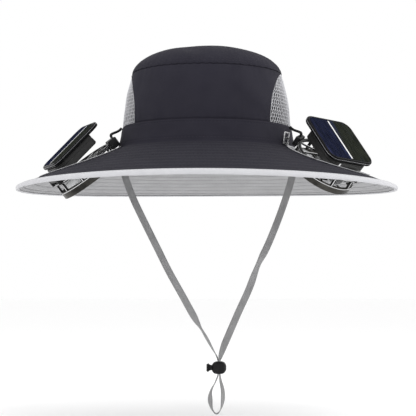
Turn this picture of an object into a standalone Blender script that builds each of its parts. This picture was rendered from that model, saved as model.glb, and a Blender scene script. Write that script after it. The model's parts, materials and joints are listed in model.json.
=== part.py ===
"""Sun hat with a mesh-sided crown, a wide two-ply brim, a chin strap with a cord lock, and two solar
fan units that sit in bound holes of the brim.

Metres, +Z up. The wearer looks along -Y. The origin is the centre of the head opening, level with
the seam where the crown meets the brim.
"""
import math

import bmesh
import bpy
from mathutils import Matrix, Vector

MM = 0.001
GAP = 0.3 * MM

# Crown
CROWN_BAND_HALF_WIDTH = 84.5 * MM
BAND_FLARE = 4.0 * MM
CROWN_FOOT_HALF_WIDTH = CROWN_BAND_HALF_WIDTH + BAND_FLARE
CROWN_SEAM_HALF_WIDTH = 75.0 * MM
HEAD_DEPTH_RATIO = 1.14
BAND_FOOT_HEIGHT = 1.7 * MM
BAND_TOP_HEIGHT = 22.0 * MM
TIP_SEAM_HEIGHT = 76.0 * MM
CROWN_HEIGHT = 100.5 * MM
CLOTH_WALL = 1.5 * MM
BAND_WALL = 1.9 * MM
NET_WALL = 1.2 * MM
NET_HALF_ANGLE = math.radians(38.0)
WALL_TAPER_POWER = 1.65
DOME_WIDTH_POWER = 3.33
DOME_HEIGHT_POWER = 0.625
DOME_SHARES = (1.0, 0.94, 0.81, 0.6, 0.32)
BAND_FLARE_POWER = 1.4
NET_TOP_SHARE = 0.8
WALL_STEPS = 6

# Brim
BRIM_INNER_HALF_WIDTH = CROWN_BAND_HALF_WIDTH + 1.5 * MM
BRIM_REACH = 104.0 * MM
BRIM_FRONT_DROP = 37.5 * MM
BRIM_SIDE_DROP = 39.5 * MM
BRIM_BACK_DROP = 32.0 * MM
BRIM_TOP_PLY = 1.3 * MM
BRIM_UNDER_PLY = 1.1 * MM
BINDING_WIDTH = 6.0 * MM
BINDING_WALL = 0.9 * MM
BINDING_SLACK = 0.45 * MM
HOLE_BINDING_WIDTH = 2.4 * MM
HOLE_BINDING_WALL = 0.7 * MM
HOLE_RADIUS_FROM_AXIS = 129.4 * MM
HOLE_AZIMUTH = math.radians(20.5)
HOLE_HALF_LENGTH = 37.4 * MM
HOLE_HALF_WIDTH = 39.2 * MM

# Fan unit, in its own frame: X points outboard and down, Y to the back, Z along the fan's axis
CAGE_RADIUS = 33.0 * MM
CAGE_WALL = 2.6 * MM
CAGE_RING_LOW = -4.5 * MM
CAGE_RING_HIGH = 3.0 * MM
CAGE_RIB_COUNT = 9
CAGE_RIB_WIDTH = 3.0 * MM
CAGE_SPOKE_COUNT = 6
GUARD_LOW = 11.0 * MM
GUARD_HIGH = 14.0 * MM
GUARD_SPOKE_COUNT = 10
GUARD_DISC_RADIUS = 8.0 * MM
SPOKE_WIDTH = 1.7 * MM
SPOKE_THICKNESS = 1.5 * MM
MOTOR_RADIUS = 9.5 * MM
MOTOR_TOP = 6.0 * MM
SHAFT_RADIUS = 1.1 * MM
SHAFT_TOP = 10.2 * MM
IMPELLER_RADIUS = 28.0 * MM
IMPELLER_LOW = 0.8 * MM
IMPELLER_HIGH = 9.4 * MM
HUB_RADIUS = 11.6 * MM
BLADE_COUNT = 7
BLADE_THICKNESS = 1.2 * MM
BLADE_CHORD = 13.0 * MM
BLADE_PITCH = math.radians(33.0)

# Hinge and the solar panel that it carries
HINGE_X = 31.0 * MM
HINGE_Z = 17.3 * MM
PIN_RADIUS = 1.1 * MM
PIN_HALF_LENGTH = 15.6 * MM
KNUCKLE_RADIUS = 2.7 * MM
LUG_INNER = 11.6 * MM
LUG_FOOT = 28.7 * MM
LUG_WALL = 3.0 * MM
PANEL_OPENING = math.radians(7.5)
BOX_NEAR = 3.9 * MM
BOX_LENGTH = 47.0 * MM
BOX_HALF_WIDTH = 25.0 * MM
BOX_DEPTH = 10.6 * MM
BOX_END_ROUNDING = 13.0 * MM
BOX_ROUNDING = 4.0 * MM
PANEL_OVERHANG = 4.4 * MM
PANEL_SIDE = 60.0 * MM
PANEL_CORNER = 10.5 * MM
PANEL_THICKNESS = 4.4 * MM
PANEL_RIM = 2.4 * MM
CELL_THICKNESS = 0.9 * MM
BUS_BAR_WIDTH = 1.7 * MM
BRACKET_HALF_WIDTH = 7.0 * MM
BRACKET_LOW = 6.0 * MM
BRACKET_TOP = 15.6 * MM

# Where each unit sits: side of the hat, distance and azimuth from the hat's axis, height, heading
# of its outboard end, tilt of its plane, roll, and its bracket's turn and reach
UNIT_COLUMNS = ("side", "radius", "azimuth", "height", "heading", "tilt", "roll", "bracket_turn",
                "bracket_reach")
UNIT_ROWS = {
    "left": (-1, 119.5 * MM, 20.5, -27.0 * MM, 24.0, 38.5, 0.0, 5.0, 8.6 * MM),
    "right": (1, 122.0 * MM, 19.5, -23.5 * MM, 48.0, 40.5, -5.0, 30.0, 4.6 * MM),
}

# Keeper cord, slotted buckle
KEEPER_RADIUS = 1.0 * MM
KEEPER_BULGE = 6.0 * MM
KEEPER_AZIMUTH = math.radians(12.0)
KEEPER_LEAN = 0.6
KEEPER_POINTS = 9
BUCKLE_WIDTH = 10.0 * MM
BUCKLE_HEIGHT = 12.0 * MM
BUCKLE_WALL = 1.4 * MM
BUCKLE_BAR = 1.6 * MM
BUCKLE_AZIMUTH = math.radians(27.5)
BUCKLE_LEAN = math.radians(8.0)

# Chin strap and cord lock
STRAP_WIDTH = 7.0 * MM
STRAP_THICKNESS = 1.0 * MM
LOCK_X = 12.0 * MM
LOCK_Z = -216.6 * MM
LOCK_LENGTH = 14.4 * MM
LOCK_DEPTH = 13.0 * MM
LOCK_HEIGHT = 12.4 * MM
LOCK_SLOT = 4.4 * MM
LOCK_SLOT_DEPTH = 8.0 * MM
LOCK_ROUNDING = 2.2 * MM
PLUNGER_STROKE = 2.0 * MM
PLUNGER_DEPTH = 9.4 * MM
PLUNGER_HEIGHT = 7.0 * MM
PLUNGER_FLANGE = 3.0 * MM
PLUNGER_FLANGE_HEIGHT = 8.6 * MM
PLUNGER_NECK = 2.0 * MM

# The strap's route from the left seam through the lock and back: X, Z, and how far the tape has
# turned edge-on, in degrees
STRAP_ROUTE = (
    (-88.6, -3.6, 0), (-83.0, -24.5, 0), (-74.5, -47.5, 0), (-62.5, -72.5, 0), (-50.5, -96.5, 0),
    (-38.5, -120.5, 0), (-25.0, -144.5, 0), (-15.0, -162.5, 10), (-6.5, -177.0, 80), (-0.5, -187.0, 35),
    (5.0, -197.0, 50), (9.8, -205.5, 90), (11.3, -211.0, 90), (11.3, -222.5, 90), (8.6, -230.5, 90),
    (4.2, -239.5, 75), (3.2, -248.5, 50), (5.0, -257.5, 75), (9.4, -262.2, 90), (13.6, -258.0, 90),
    (15.7, -248.5, 90), (15.6, -239.0, 90), (13.6, -230.0, 90), (12.7, -222.5, 90), (12.7, -211.0, 90),
    (13.6, -205.0, 90), (17.0, -195.0, 45), (21.0, -185.5, 10), (31.0, -162.5, 0), (42.0, -138.5, 0),
    (51.0, -114.5, 55), (60.0, -96.5, 0), (70.0, -72.5, 0), (79.0, -47.5, 0), (85.5, -25.5, 0),
    (88.9, -3.6, 0),
)
STRAP_STATIONS = 60

# Roughness of the mesh, and how far a cutting shape runs past what it cuts
TOOL_MARGIN = 20.0 * MM
CROWN_SEGMENTS = 36
BRIM_SEGMENTS = 44
ROUND_SIDES = 22
SMALL_SIDES = 12

parts = bpy.data.collections.new("solar_fan_hat")
cutters = bpy.data.collections.new("cutters")


def clear_scene():
    for obj in list(bpy.data.objects):
        bpy.data.objects.remove(obj, do_unlink=True)
    bpy.context.scene.collection.children.link(parts)
    bpy.context.scene.collection.children.link(cutters)


def material(name, colour, roughness, metallic=0.0):
    found = bpy.data.materials.get(name)
    if found:
        return found
    made = bpy.data.materials.new(name)
    made.use_nodes = True
    shader = made.node_tree.nodes["Principled BSDF"]
    shader.inputs["Base Color"].default_value = (*colour, 1.0)
    shader.inputs["Roughness"].default_value = roughness
    shader.inputs["Metallic"].default_value = metallic
    return made


def charcoal_cloth():
    return material("charcoal_cloth", (0.028, 0.026, 0.036), 0.85)


def grey_cloth():
    return material("grey_cloth", (0.42, 0.42, 0.43), 0.85)


def binding_tape():
    return material("binding_tape", (0.74, 0.74, 0.78), 0.75)


def net_cloth():
    return material("net_cloth", (0.55, 0.54, 0.62), 0.8)


def strap_webbing():
    return material("strap_webbing", (0.26, 0.26, 0.27), 0.8)


def black_plastic():
    return material("black_plastic", (0.015, 0.015, 0.016), 0.35)


def gunmetal_plastic():
    return material("gunmetal_plastic", (0.10, 0.10, 0.09), 0.25, 0.6)


def pale_plastic():
    return material("pale_plastic", (0.45, 0.46, 0.47), 0.4)


def bright_metal():
    return material("bright_metal", (0.6, 0.6, 0.6), 0.25, 1.0)


def cell_glass():
    return material("cell_glass", (0.02, 0.025, 0.07), 0.12)


def silver_print():
    return material("silver_print", (0.8, 0.8, 0.8), 0.4, 0.5)


def object_from(bm, name):
    """Closes a bmesh into an object of the parts collection."""
    mesh = bpy.data.meshes.new(name)
    bm.to_mesh(mesh)
    bm.free()
    obj = bpy.data.objects.new(name, mesh)
    parts.objects.link(obj)
    return obj


def baked(obj):
    """Replaces an object's mesh by what its modifiers make of it."""
    bpy.context.view_layer.update()
    graph = bpy.context.evaluated_depsgraph_get()
    mesh = bpy.data.meshes.new_from_object(obj.evaluated_get(graph))
    name = obj.name
    matrix = obj.matrix_world.copy()
    bpy.data.objects.remove(obj, do_unlink=True)
    mesh.name = name
    made = bpy.data.objects.new(name, mesh)
    made.matrix_world = matrix
    parts.objects.link(made)
    return made


def finished(obj, surface, empty=None, sharp=35.0):
    """Gives a piece its material, its smooth shading and the empty that places it."""
    bm = bmesh.new()
    bm.from_mesh(obj.data)
    bmesh.ops.dissolve_degenerate(bm, edges=bm.edges, dist=0.00001)
    bmesh.ops.triangulate(bm, faces=bm.faces, quad_method="BEAUTY", ngon_method="BEAUTY")
    bm.to_mesh(obj.data)
    bm.free()
    obj.data.materials.clear()
    obj.data.materials.append(surface)
    obj.data.shade_smooth()
    obj.data.set_sharp_from_angle(angle=math.radians(sharp))
    if empty:
        obj.parent = empty
    return obj


def box(name, low, high):
    bm = bmesh.new()
    bmesh.ops.create_cube(bm, size=1.0)
    low = Vector(low)
    high = Vector(high)
    bmesh.ops.scale(bm, vec=high - low, verts=bm.verts)
    bmesh.ops.translate(bm, vec=(low + high) / 2.0, verts=bm.verts)
    return object_from(bm, name)


def cylinder(name, radius, low, high, sides=ROUND_SIDES):
    bm = bmesh.new()
    bmesh.ops.create_cone(bm, cap_ends=True, segments=sides, radius1=radius, radius2=radius,
                          depth=high - low)
    bmesh.ops.translate(bm, vec=(0.0, 0.0, (low + high) / 2.0), verts=bm.verts)
    return object_from(bm, name)


def cylinder_along_y(name, radius, half_length, x, z, sides=SMALL_SIDES):
    obj = cylinder(name, radius, -half_length, half_length, sides)
    obj.data.transform(Matrix.Translation((x, 0.0, z)) @ Matrix.Rotation(math.pi / 2.0, 4, "X"))
    return obj


def turned(name, profile, closed, sides=ROUND_SIDES):
    """Turns a profile of (radius, height) points, listed down its outer side, about Z."""
    bm = bmesh.new()
    verts = [bm.verts.new((radius, 0.0, height)) for radius, height in profile]
    for first, second in zip(verts, verts[1:]):
        bm.edges.new((first, second))
    if closed:
        bm.edges.new((verts[-1], verts[0]))
    obj = object_from(bm, name)
    screw = obj.modifiers.new("turn", "SCREW")
    screw.steps = sides
    screw.render_steps = sides
    screw.use_merge_vertices = True
    screw.merge_threshold = 0.00005
    return baked(obj)


def gathered(name, objects):
    """Puts objects that don't touch each other into one mesh."""
    bm = bmesh.new()
    for obj in objects:
        part = obj.data.copy()
        part.transform(obj.matrix_world)
        bm.from_mesh(part)
        bpy.data.meshes.remove(part)
        bpy.data.objects.remove(obj, do_unlink=True)
    return object_from(bm, name)


def combined(base, operation, tool):
    """Unites a body with another one, or cuts that one out of it."""
    boolean = base.modifiers.new(operation.lower(), "BOOLEAN")
    boolean.operation = operation
    boolean.object = tool
    made = baked(base)
    bpy.data.objects.remove(tool, do_unlink=True)
    return made


def around(name, count, build, turn=0.0):
    """Repeats a small solid around Z."""
    copies = []
    for index in range(count):
        piece = build(f"{name}_{index}")
        piece.data.transform(Matrix.Rotation(turn + math.tau * index / count, 4, "Z"))
        copies.append(piece)
    return gathered(name, copies)


def double_wall(name, outer, inner, closed, tips=()):
    """A ply between two grids of points, row for row; a closed one runs all the way round.

    tips are the outer and inner points that close a dome over its last rows.
    """
    bm = bmesh.new()
    faces = [[[bm.verts.new(point) for point in row] for row in grid] for grid in (outer, inner)]
    count = len(outer[0])
    last = count if closed else count - 1
    for grid in faces:
        for lower, upper in zip(grid, grid[1:]):
            for index in range(last):
                after = (index + 1) % count
                bm.faces.new((lower[index], lower[after], upper[after], upper[index]))
    edges = [(faces[0][0], faces[1][0])]
    if tips:
        for grid, tip in zip(faces, tips):
            centre = bm.verts.new(tip)
            for index in range(count):
                bm.faces.new((grid[-1][index], grid[-1][(index + 1) % count], centre))
    else:
        edges.append((faces[0][-1], faces[1][-1]))
    for first, second in edges:
        for index in range(last):
            after = (index + 1) % count
            bm.faces.new((first[index], first[after], second[after], second[index]))
    if not closed:
        for index in (0, count - 1):
            for row in range(len(outer) - 1):
                bm.faces.new((faces[0][row][index], faces[0][row + 1][index],
                              faces[1][row + 1][index], faces[1][row][index]))
    bmesh.ops.recalc_face_normals(bm, faces=bm.faces)
    return object_from(bm, name)


def loft(name, sections, ring):
    """Skins a closed solid over sections of equal point count, as a ring or with capped ends."""
    bm = bmesh.new()
    rows = [[bm.verts.new(point) for point in section] for section in sections]
    count = len(rows[0])
    pairs = list(zip(rows, rows[1:]))
    if ring:
        pairs.append((rows[-1], rows[0]))
    for first, second in pairs:
        for index in range(count):
            after = (index + 1) % count
            bm.faces.new((first[index], first[after], second[after], second[index]))
    if not ring:
        bm.faces.new(rows[0])
        bm.faces.new(rows[-1])
    bmesh.ops.recalc_face_normals(bm, faces=bm.faces)
    return object_from(bm, name)


def crown_point(half_width, angle, height, inset=0.0):
    """A point of the crown's oval; the angle runs from the front towards +X."""
    depth = half_width * HEAD_DEPTH_RATIO - inset
    return Vector(((half_width - inset) * math.sin(angle), -depth * math.cos(angle), height))


def wall_half_width(share):
    """Half width of the crown's wall, from the band's top (0) to the tip's seam (1)."""
    taper = CROWN_BAND_HALF_WIDTH - CROWN_SEAM_HALF_WIDTH
    return CROWN_BAND_HALF_WIDTH - taper * share ** WALL_TAPER_POWER


def wall_panel(name, middle, top, columns, half_angle, wall):
    """One panel of the crown's wall, about the angle of its middle, up to a share of its last step."""
    low = BAND_TOP_HEIGHT + GAP
    high = TIP_SEAM_HEIGHT - GAP
    rows = []
    for step in range(WALL_STEPS + 1):
        share = math.sin(math.pi / 2.0 * step / WALL_STEPS)
        rows.append(Vector((share, half_angle(share))))
    rows[-1] = rows[-2].lerp(rows[-1], top)
    grids = ([], [])
    for share, half in rows:
        for grid, inset in zip(grids, (0.0, wall)):
            grid.append([crown_point(wall_half_width(share), middle + half * (2.0 * index / columns - 1.0),
                                     low + (high - low) * share, inset) for index in range(columns + 1)])
    return double_wall(name, *grids, False)


def net_half_angle(share):
    """Half angle of the arched net at a height, narrowing to nothing at the tip's seam."""
    return NET_HALF_ANGLE * math.sqrt(max(0.0, 1.0 - share * share)) - GAP / CROWN_BAND_HALF_WIDTH


def cloth_half_angle(share):
    return math.pi / 2.0 - net_half_angle(share) - 2.0 * GAP / CROWN_BAND_HALF_WIDTH


def make_crown():
    for name, middle in (("crown_front_panel", 0.0), ("crown_back_panel", math.pi)):
        finished(wall_panel(name, middle, 1.0, 12, cloth_half_angle, CLOTH_WALL), charcoal_cloth())
    for name, side in (("net_panel_left", -1.0), ("net_panel_right", 1.0)):
        finished(wall_panel(name, side * math.pi / 2.0, NET_TOP_SHARE, 5, net_half_angle, NET_WALL),
                 net_cloth())

    angles = [math.tau * index / CROWN_SEGMENTS for index in range(CROWN_SEGMENTS)]
    grids = []
    tips = []
    for inset in (0.0, CLOTH_WALL):
        rise = CROWN_HEIGHT - TIP_SEAM_HEIGHT - inset
        rows = []
        for share in DOME_SHARES:
            height = TIP_SEAM_HEIGHT + rise * (1.0 - share ** DOME_WIDTH_POWER) ** DOME_HEIGHT_POWER
            rows.append([crown_point(CROWN_SEAM_HALF_WIDTH * share, angle, height, inset * share)
                         for angle in angles])
        grids.append(rows)
        tips.append((0.0, 0.0, TIP_SEAM_HEIGHT + rise))
    finished(double_wall("crown_tip", *grids, True, tips), charcoal_cloth())

    grids = ([], [])
    flare = CROWN_FOOT_HALF_WIDTH - CROWN_BAND_HALF_WIDTH
    for share in (0.0, 0.35, 1.0):
        height = BAND_FOOT_HEIGHT + (BAND_TOP_HEIGHT - BAND_FOOT_HEIGHT) * share
        half = CROWN_BAND_HALF_WIDTH + flare * (1.0 - share) ** BAND_FLARE_POWER
        for grid, inset in zip(grids, (0.0, BAND_WALL)):
            grid.append([crown_point(half, angle, height, inset) for angle in angles])
    finished(double_wall("hat_band", *grids, True), charcoal_cloth())


def brim_drop(angle):
    """How far the brim's edge hangs below the head opening; the angle runs from the front."""
    mean = (BRIM_FRONT_DROP + BRIM_BACK_DROP + 2.0 * BRIM_SIDE_DROP) / 4.0
    tip = (BRIM_FRONT_DROP - BRIM_BACK_DROP) / 2.0
    sides = (BRIM_FRONT_DROP + BRIM_BACK_DROP - 2.0 * BRIM_SIDE_DROP) / 4.0
    return mean + tip * math.cos(angle) + sides * math.cos(2.0 * angle)


def brim_axes(share):
    reach = BRIM_REACH * share
    return BRIM_INNER_HALF_WIDTH + reach, BRIM_INNER_HALF_WIDTH * HEAD_DEPTH_RATIO + reach


def brim_point(share, angle, lift):
    half_width, half_depth = brim_axes(share)
    return Vector((half_width * math.sin(angle), -half_depth * math.cos(angle),
                   lift - brim_drop(angle) * share))


def brim_height(x, y):
    """Height of the brim's middle surface above a point in plan."""
    low, high = -0.5, 1.5
    for _ in range(40):
        share = (low + high) / 2.0
        half_width, half_depth = brim_axes(share)
        if (x / half_width) ** 2 + (y / half_depth) ** 2 > 1.0:
            low = share
        else:
            high = share
    half_width, half_depth = brim_axes(low)
    return -brim_drop(math.atan2(x / half_width, -y / half_depth)) * low


def hole_point(side, turn, outset, lift):
    """A point round a brim hole; a positive outset lies on the cloth."""
    out = Vector((side * math.cos(HOLE_AZIMUTH), -math.sin(HOLE_AZIMUTH), 0.0))
    along = Vector((-out.y, out.x, 0.0))
    place = out * (HOLE_RADIUS_FROM_AXIS + (HOLE_HALF_LENGTH + outset) * math.cos(turn))
    place += along * (HOLE_HALF_WIDTH + outset) * math.sin(turn)
    place.z = brim_height(place.x, place.y) + lift
    return place


def hole_cutter(side):
    low = []
    high = []
    for index in range(ROUND_SIDES):
        point = hole_point(side, math.tau * index / ROUND_SIDES, 0.0, 0.0)
        low.append(point - Vector((0.0, 0.0, 20.0 * MM)))
        high.append(point + Vector((0.0, 0.0, 20.0 * MM)))
    return loft("hole_cutter", (low, high), False)


def binding_section(place, width, wall):
    """The folded tape round an edge: in along the top, round the edge and back underneath.

    place takes how far a point lies in from the edge, on the cloth, and its height.
    """
    top = GAP / 2.0 + BRIM_TOP_PLY + BINDING_SLACK
    under = GAP / 2.0 + BRIM_UNDER_PLY + BINDING_SLACK
    nose = GAP + wall
    outline = ((width, top), (-GAP, top), (-GAP, -under), (width, -under), (width, -under - wall),
               (-nose, -under - wall), (-nose, top + wall), (width, top + wall))
    return [place(inset, lift) for inset, lift in outline]


def make_brim():
    cloth_end = 1.0 - (GAP + BINDING_WALL) / BRIM_REACH
    angles = [math.tau * index / BRIM_SEGMENTS for index in range(BRIM_SEGMENTS)]
    shares = (0.0, 0.45 * cloth_end, cloth_end - 1.1 * BINDING_WIDTH / BRIM_REACH, cloth_end)
    under = -GAP / 2.0 - BRIM_UNDER_PLY
    for name, low, ply, surface in (("brim_top", GAP / 2.0, BRIM_TOP_PLY, charcoal_cloth()),
                                    ("brim_underside", under, BRIM_UNDER_PLY, grey_cloth())):
        outline = [(share, low) for share in shares] + [(share, low + ply) for share in reversed(shares)]
        sections = [[brim_point(share, angle, lift) for share, lift in outline] for angle in angles]
        brim = loft(name, sections, True)
        for side in (-1.0, 1.0):
            brim = combined(brim, "DIFFERENCE", hole_cutter(side))
        finished(brim, surface)

    sections = []
    for angle in angles:
        def place(inset, lift, angle=angle):
            return brim_point(cloth_end - inset / BRIM_REACH, angle, lift)
        sections.append(binding_section(place, BINDING_WIDTH, BINDING_WALL))
    finished(loft("brim_binding", sections, True), binding_tape())

    for name, side in (("hole_binding_left", -1.0), ("hole_binding_right", 1.0)):
        sections = []
        for index in range(ROUND_SIDES):
            turn = math.tau * index / ROUND_SIDES

            def place(inset, lift, side=side, turn=turn):
                return hole_point(side, turn, inset, lift)
            sections.append(binding_section(place, HOLE_BINDING_WIDTH, HOLE_BINDING_WALL))
        finished(loft(name, sections, True), binding_tape())


def unit_empty(name, unit):
    """The empty on the fan's axis, level with the middle of the lower ring."""
    azimuth = math.radians(unit["azimuth"])
    heading = math.radians(unit["heading"])
    tilt = math.radians(unit["tilt"])
    side = unit["side"]
    up = Vector((0.0, 0.0, 1.0))
    out = Vector((side * math.cos(heading), -math.sin(heading), 0.0))
    x_axis = out * math.cos(tilt) - up * math.sin(tilt)
    z_axis = out * math.sin(tilt) + up * math.cos(tilt)
    y_axis = z_axis.cross(x_axis)
    turn = Matrix((x_axis, y_axis, z_axis)).transposed().to_4x4()
    place = Vector((side * unit["radius"] * math.cos(azimuth), -unit["radius"] * math.sin(azimuth),
                    unit["height"]))
    empty = bpy.data.objects.new(name, None)
    empty.matrix_world = (Matrix.Translation(place) @ turn
                          @ Matrix.Rotation(math.radians(side * unit["roll"]), 4, "X"))
    parts.objects.link(empty)
    return empty


def panel_empty(name, parent):
    """The empty on the hinge's axis, opened to the angle that the panel rests at."""
    empty = bpy.data.objects.new(name, None)
    empty.parent = parent
    empty.location = (HINGE_X, 0.0, HINGE_Z)
    empty.rotation_euler = (0.0, PANEL_OPENING, 0.0)
    parts.objects.link(empty)
    return empty


def ring_profile(outer, inner, low, high):
    return ((outer, high), (outer, low), (inner, low), (inner, high))


def spoke(length_start, length_end, width, low, high):
    def build(name):
        return box(name, (length_start, -width / 2.0, low), (length_end, width / 2.0, high))
    return build


def make_cage(suffix, empty):
    """Lower ring, side ribs and the spoked floor that carries the motor, moulded in one."""
    name = f"fan_cage_{suffix}"
    inner = CAGE_RADIUS - CAGE_WALL
    low = CAGE_RING_LOW
    cage = turned(name, ring_profile(CAGE_RADIUS, inner, low, CAGE_RING_HIGH), True)
    ribs = around("ribs", CAGE_RIB_COUNT,
                  spoke(inner + 0.3 * MM, CAGE_RADIUS - 0.3 * MM, CAGE_RIB_WIDTH, low + 0.5 * MM,
                        GUARD_LOW - GAP), math.pi / CAGE_RIB_COUNT)
    cage = combined(cage, "UNION", ribs)
    floor = cylinder("floor", MOTOR_RADIUS + 1.5 * MM, low + 0.2 * MM, low + 0.2 * MM + SPOKE_THICKNESS)
    spokes = around("spokes", CAGE_SPOKE_COUNT,
                    spoke(MOTOR_RADIUS, inner + 1.0 * MM, SPOKE_WIDTH, low + 0.3 * MM,
                          low + 0.1 * MM + SPOKE_THICKNESS), math.pi / CAGE_SPOKE_COUNT)
    floor = combined(floor, "UNION", spokes)
    cage = combined(cage, "UNION", floor)
    finished(cage, gunmetal_plastic(), empty)


def lug(name, side):
    """A lug beside the panel's knuckle, drilled for the hinge pin."""
    near = side * LUG_INNER
    far = side * (LUG_INNER + LUG_WALL)
    low = (LUG_FOOT, min(near, far), GUARD_LOW + 0.4 * MM)
    high = (HINGE_X + KNUCKLE_RADIUS, max(near, far), HINGE_Z + KNUCKLE_RADIUS)
    return box(name, low, high)


def make_guard(suffix, empty):
    """Top ring with radial spokes, a middle ring and the two hinge lugs."""
    name = f"fan_guard_{suffix}"
    inner = CAGE_RADIUS - CAGE_WALL
    guard = turned(name, ring_profile(CAGE_RADIUS, inner, GUARD_LOW, GUARD_HIGH), True)
    low = GUARD_HIGH - SPOKE_THICKNESS - 0.3 * MM
    disc = cylinder("disc", GUARD_DISC_RADIUS, low - 0.1 * MM, GUARD_HIGH - 0.2 * MM)
    spokes = around("spokes", GUARD_SPOKE_COUNT,
                    spoke(GUARD_DISC_RADIUS - 1.0 * MM, inner + 1.0 * MM, SPOKE_WIDTH, low,
                          low + SPOKE_THICKNESS), math.pi / GUARD_SPOKE_COUNT)
    middle = (GUARD_DISC_RADIUS + inner) / 2.0
    hoop = turned("hoop", ring_profile(middle + 0.8 * MM, middle - 0.8 * MM, low + 0.1 * MM,
                                       low + SPOKE_THICKNESS - 0.1 * MM), True)
    disc = combined(disc, "UNION", spokes)
    disc = combined(disc, "UNION", hoop)
    guard = combined(guard, "UNION", disc)
    lugs = gathered("lugs", [lug("lug", -1.0), lug("lug", 1.0)])
    guard = combined(guard, "UNION", lugs)
    bore = cylinder_along_y("bore", PIN_RADIUS + GAP, PIN_HALF_LENGTH + 4.0 * MM, HINGE_X, HINGE_Z)
    guard = combined(guard, "DIFFERENCE", bore)
    finished(guard, black_plastic(), empty)


def make_motor(suffix, empty):
    floor = CAGE_RING_LOW + 0.2 * MM + SPOKE_THICKNESS + GAP
    profile = ((0.0, SHAFT_TOP), (SHAFT_RADIUS, SHAFT_TOP), (SHAFT_RADIUS, MOTOR_TOP),
               (MOTOR_RADIUS, MOTOR_TOP), (MOTOR_RADIUS, floor), (0.0, floor))
    finished(turned(f"fan_motor_{suffix}", profile, False, 20), gunmetal_plastic(), empty)


def make_impeller(suffix, empty):
    """Seven pitched blades on a cup that caps the motor and turns on its shaft."""
    wall = 1.4 * MM
    cup_inner = HUB_RADIUS - wall
    bore = SHAFT_RADIUS + GAP
    crown = IMPELLER_HIGH - wall
    profile = ((bore, IMPELLER_HIGH), (HUB_RADIUS, IMPELLER_HIGH), (HUB_RADIUS, IMPELLER_LOW),
               (cup_inner, IMPELLER_LOW), (cup_inner, crown), (bore, crown))
    cup = turned(f"impeller_{suffix}", profile, True, 20)
    middle = (IMPELLER_LOW + IMPELLER_HIGH) / 2.0

    def blade(name):
        half = BLADE_CHORD / 2.0
        obj = box(name, (cup_inner + 0.5 * MM, -half, -BLADE_THICKNESS / 2.0),
                  (IMPELLER_RADIUS, half, BLADE_THICKNESS / 2.0))
        for vert in obj.data.vertices:
            if vert.co.x < HUB_RADIUS:
                vert.co.y *= 0.5
        obj.data.transform(Matrix.Translation((0.0, 0.0, middle)) @ Matrix.Rotation(BLADE_PITCH, 4, "X"))
        return obj
    cup = combined(cup, "UNION", around("blades", BLADE_COUNT, blade))
    finished(cup, pale_plastic(), empty)


def rounded_outline(low_x, high_x, low_y, high_y, radii, steps=4):
    """Corners in order: low x low y, high x low y, high x high y, low x high y."""
    corners = ((low_x, low_y, 180.0), (high_x, low_y, 270.0), (high_x, high_y, 0.0), (low_x, high_y, 90.0))
    points = []
    for (x, y, start), radius in zip(corners, radii):
        centre_x = x + radius if x == low_x else x - radius
        centre_y = y + radius if y == low_y else y - radius
        count = steps if radius > 1.5 * MM else 2
        for index in range(count + 1):
            angle = math.radians(start + 90.0 * index / count)
            points.append((centre_x + radius * math.cos(angle), centre_y + radius * math.sin(angle)))
    return points


def plate(name, outline, low, high):
    """A flat outline given its thickness."""
    curve = bpy.data.curves.new(name, "CURVE")
    curve.dimensions = "2D"
    curve.fill_mode = "BOTH"
    curve.extrude = (high - low) / 2.0
    spline = curve.splines.new("POLY")
    spline.points.add(len(outline) - 1)
    for point, (x, y) in zip(spline.points, outline):
        point.co = (x, y, 0.0, 1.0)
    spline.use_cyclic_u = True
    obj = bpy.data.objects.new(name, curve)
    obj.location.z = (low + high) / 2.0
    parts.objects.link(obj)
    made = baked(obj)
    bpy.data.curves.remove(curve)
    made.data.transform(made.matrix_world)
    made.matrix_world = Matrix.Identity(4)
    bm = bmesh.new()
    bm.from_mesh(made.data)
    bmesh.ops.remove_doubles(bm, verts=bm.verts, dist=0.00001)
    bm.to_mesh(made.data)
    bm.free()
    return made


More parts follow.
